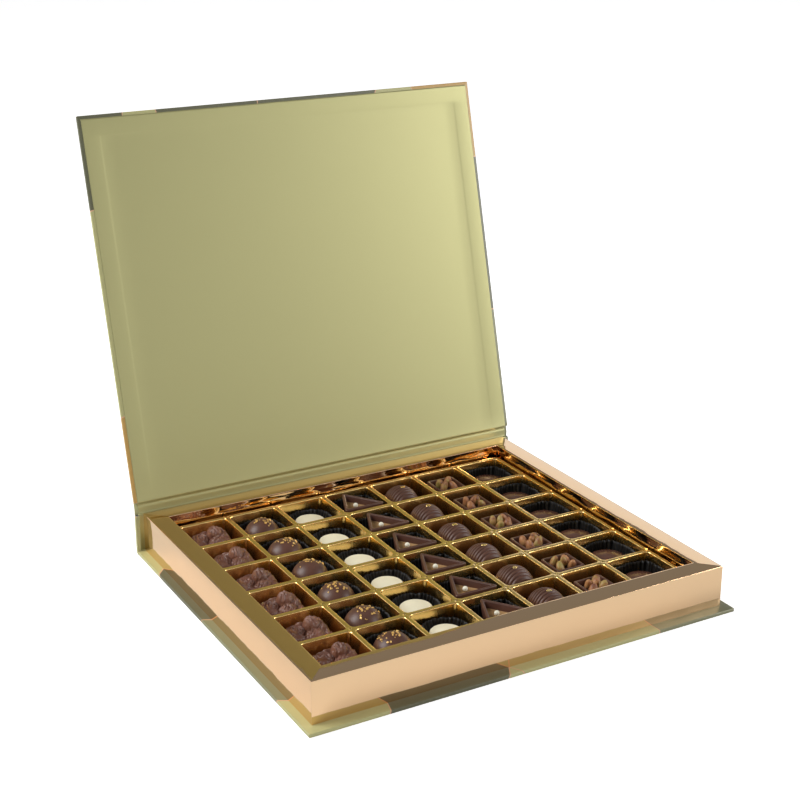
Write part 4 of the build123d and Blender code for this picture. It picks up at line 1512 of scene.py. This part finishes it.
def soft_lamp(name, place, target, size, power):
    """A rectangular soft lamp aimed at a place."""
    lamp = bpy.data.lights.new(name, "AREA")
    lamp.shape = "RECTANGLE"
    lamp.size, lamp.size_y = size
    lamp.energy = power
    holder = bpy.data.objects.new(name, lamp)
    holder.location = place
    aim = Vector(target) - Vector(place)
    holder.rotation_euler = aim.to_track_quat("-Z", "Y").to_euler()
    bpy.context.scene.collection.objects.link(holder)


def set_camera(scene):
    """The eye that sees the box as in the photograph, looking down from the front left."""
    place = Vector((-0.5158, -0.8787, 0.5142))
    right = Vector((0.87062, -0.49195, 0.00137)).normalized()
    ahead = Vector((0.46195, 0.81655, -0.34620)).normalized()
    focal_pixels, picture_pixels, film = 1573.06, 800, 36.0
    eye = bpy.data.cameras.new("camera")
    eye.sensor_width = film
    eye.lens = focal_pixels / picture_pixels * film
    eye.clip_start = 0.05
    eye.clip_end = 50
    camera = bpy.data.objects.new("camera", eye)
    matrix = Matrix((right, right.cross(ahead), -ahead)).transposed().to_4x4()
    matrix.translation = place
    camera.matrix_world = matrix
    scene.collection.objects.link(camera)
    scene.camera = camera


class BOX_OT_stage(bpy.types.Operator):
    """Set the pale floor, the soft lamps and the camera"""

    bl_idname = "chocolate_box.stage"
    bl_label = "Stage"

    def execute(self, context):
        settings = context.scene.box_stage
        scene = context.scene
        reach = 6.0
        floor = [(-reach, -reach, 0), (reach, -reach, 0), (reach, reach, 0), (-reach, reach, 0)]
        stage_piece("studio_floor", floor, [(0, 1, 2, 3)], pale_surface("pale_floor", 0.76, 0.02))

        count, radius, height = 64, 5.0, 2.0
        wall = round_ring(radius, 0, steps=count) + round_ring(radius, height, steps=count)
        faces = []
        for k in range(count):
            j = (k + 1) % count
            faces.append((k, j, count + j, count + k))
        stage_piece("studio_wall", wall, faces, pale_surface("pale_wall", 1.0, 0.6))

        centre = (0, 0, 0.05)
        soft_lamp("key_lamp", (-1.45, 0.6, 1.35), centre, (1.1, 1.1), settings.key_power)
        soft_lamp("fill_lamp", (1.9, -1.35, 0.85), centre, (0.9, 1.5), settings.fill_power)

        world = bpy.data.worlds.new("room")
        scene.world = world
        world.use_nodes = True
        background = world.node_tree.nodes["Background"]
        background.inputs["Color"].default_value = (1, 1, 1, 1)
        background.inputs["Strength"].default_value = settings.surround

        set_camera(scene)
        scene.view_settings.view_transform = "Standard"
        return {"FINISHED"}


class BOX_PT_panel(bpy.types.Panel):
    """The steps that dress the box, in order"""

    bl_label = "Chocolate Box"
    bl_idname = "BOX_PT_panel"
    bl_space_type = "VIEW_3D"
    bl_region_type = "UI"
    bl_category = "Chocolate Box"

    def draw(self, context):
        for settings, steps in PANEL_ROWS:
            box = self.layout.box()
            group = getattr(context.scene, settings)
            for name in group.__annotations__:
                box.prop(group, name)
            for step in steps:
                box.operator(step.bl_idname)


PANEL_ROWS = (
    ("box_case", (BOX_OT_case, BOX_OT_lining)),
    ("box_tray", (BOX_OT_tray,)),
    ("box_insert", (BOX_OT_insert,)),
    ("box_cups", (BOX_OT_cups,)),
    ("box_chocolates", (BOX_OT_plain_pieces, BOX_OT_filled_pieces, BOX_OT_toppings)),
    ("box_stage", (BOX_OT_stage,)),
)
SETTINGS = {
    "box_case": CaseSettings, "box_tray": TraySettings, "box_insert": InsertSettings,
    "box_cups": CupSettings, "box_chocolates": ChocolateSettings, "box_stage": StageSettings,
}


def register():
    for name, group in SETTINGS.items():
        bpy.utils.register_class(group)
        setattr(bpy.types.Scene, name, PointerProperty(type=group))
    for _, steps in PANEL_ROWS:
        for step in steps:
            bpy.utils.register_class(step)
    bpy.utils.register_class(BOX_PT_panel)


def unregister():
    bpy.utils.unregister_class(BOX_PT_panel)
    for _, steps in reversed(PANEL_ROWS):
        for step in reversed(steps):
            bpy.utils.unregister_class(step)
    for name, group in reversed(list(SETTINGS.items())):
        delattr(bpy.types.Scene, name)
        bpy.utils.unregister_class(group)


def main():
    """Registers the add-on and runs every step."""
    register()
    bpy.ops.chocolate_box.stage()
    bpy.ops.chocolate_box.case()
    bpy.ops.chocolate_box.lining()
    bpy.ops.chocolate_box.tray()
    bpy.ops.chocolate_box.insert()
    bpy.ops.chocolate_box.cups()
    bpy.ops.chocolate_box.plain_pieces()
    bpy.ops.chocolate_box.filled_pieces()
    bpy.ops.chocolate_box.toppings()


if __name__ == "__main__":
    main()
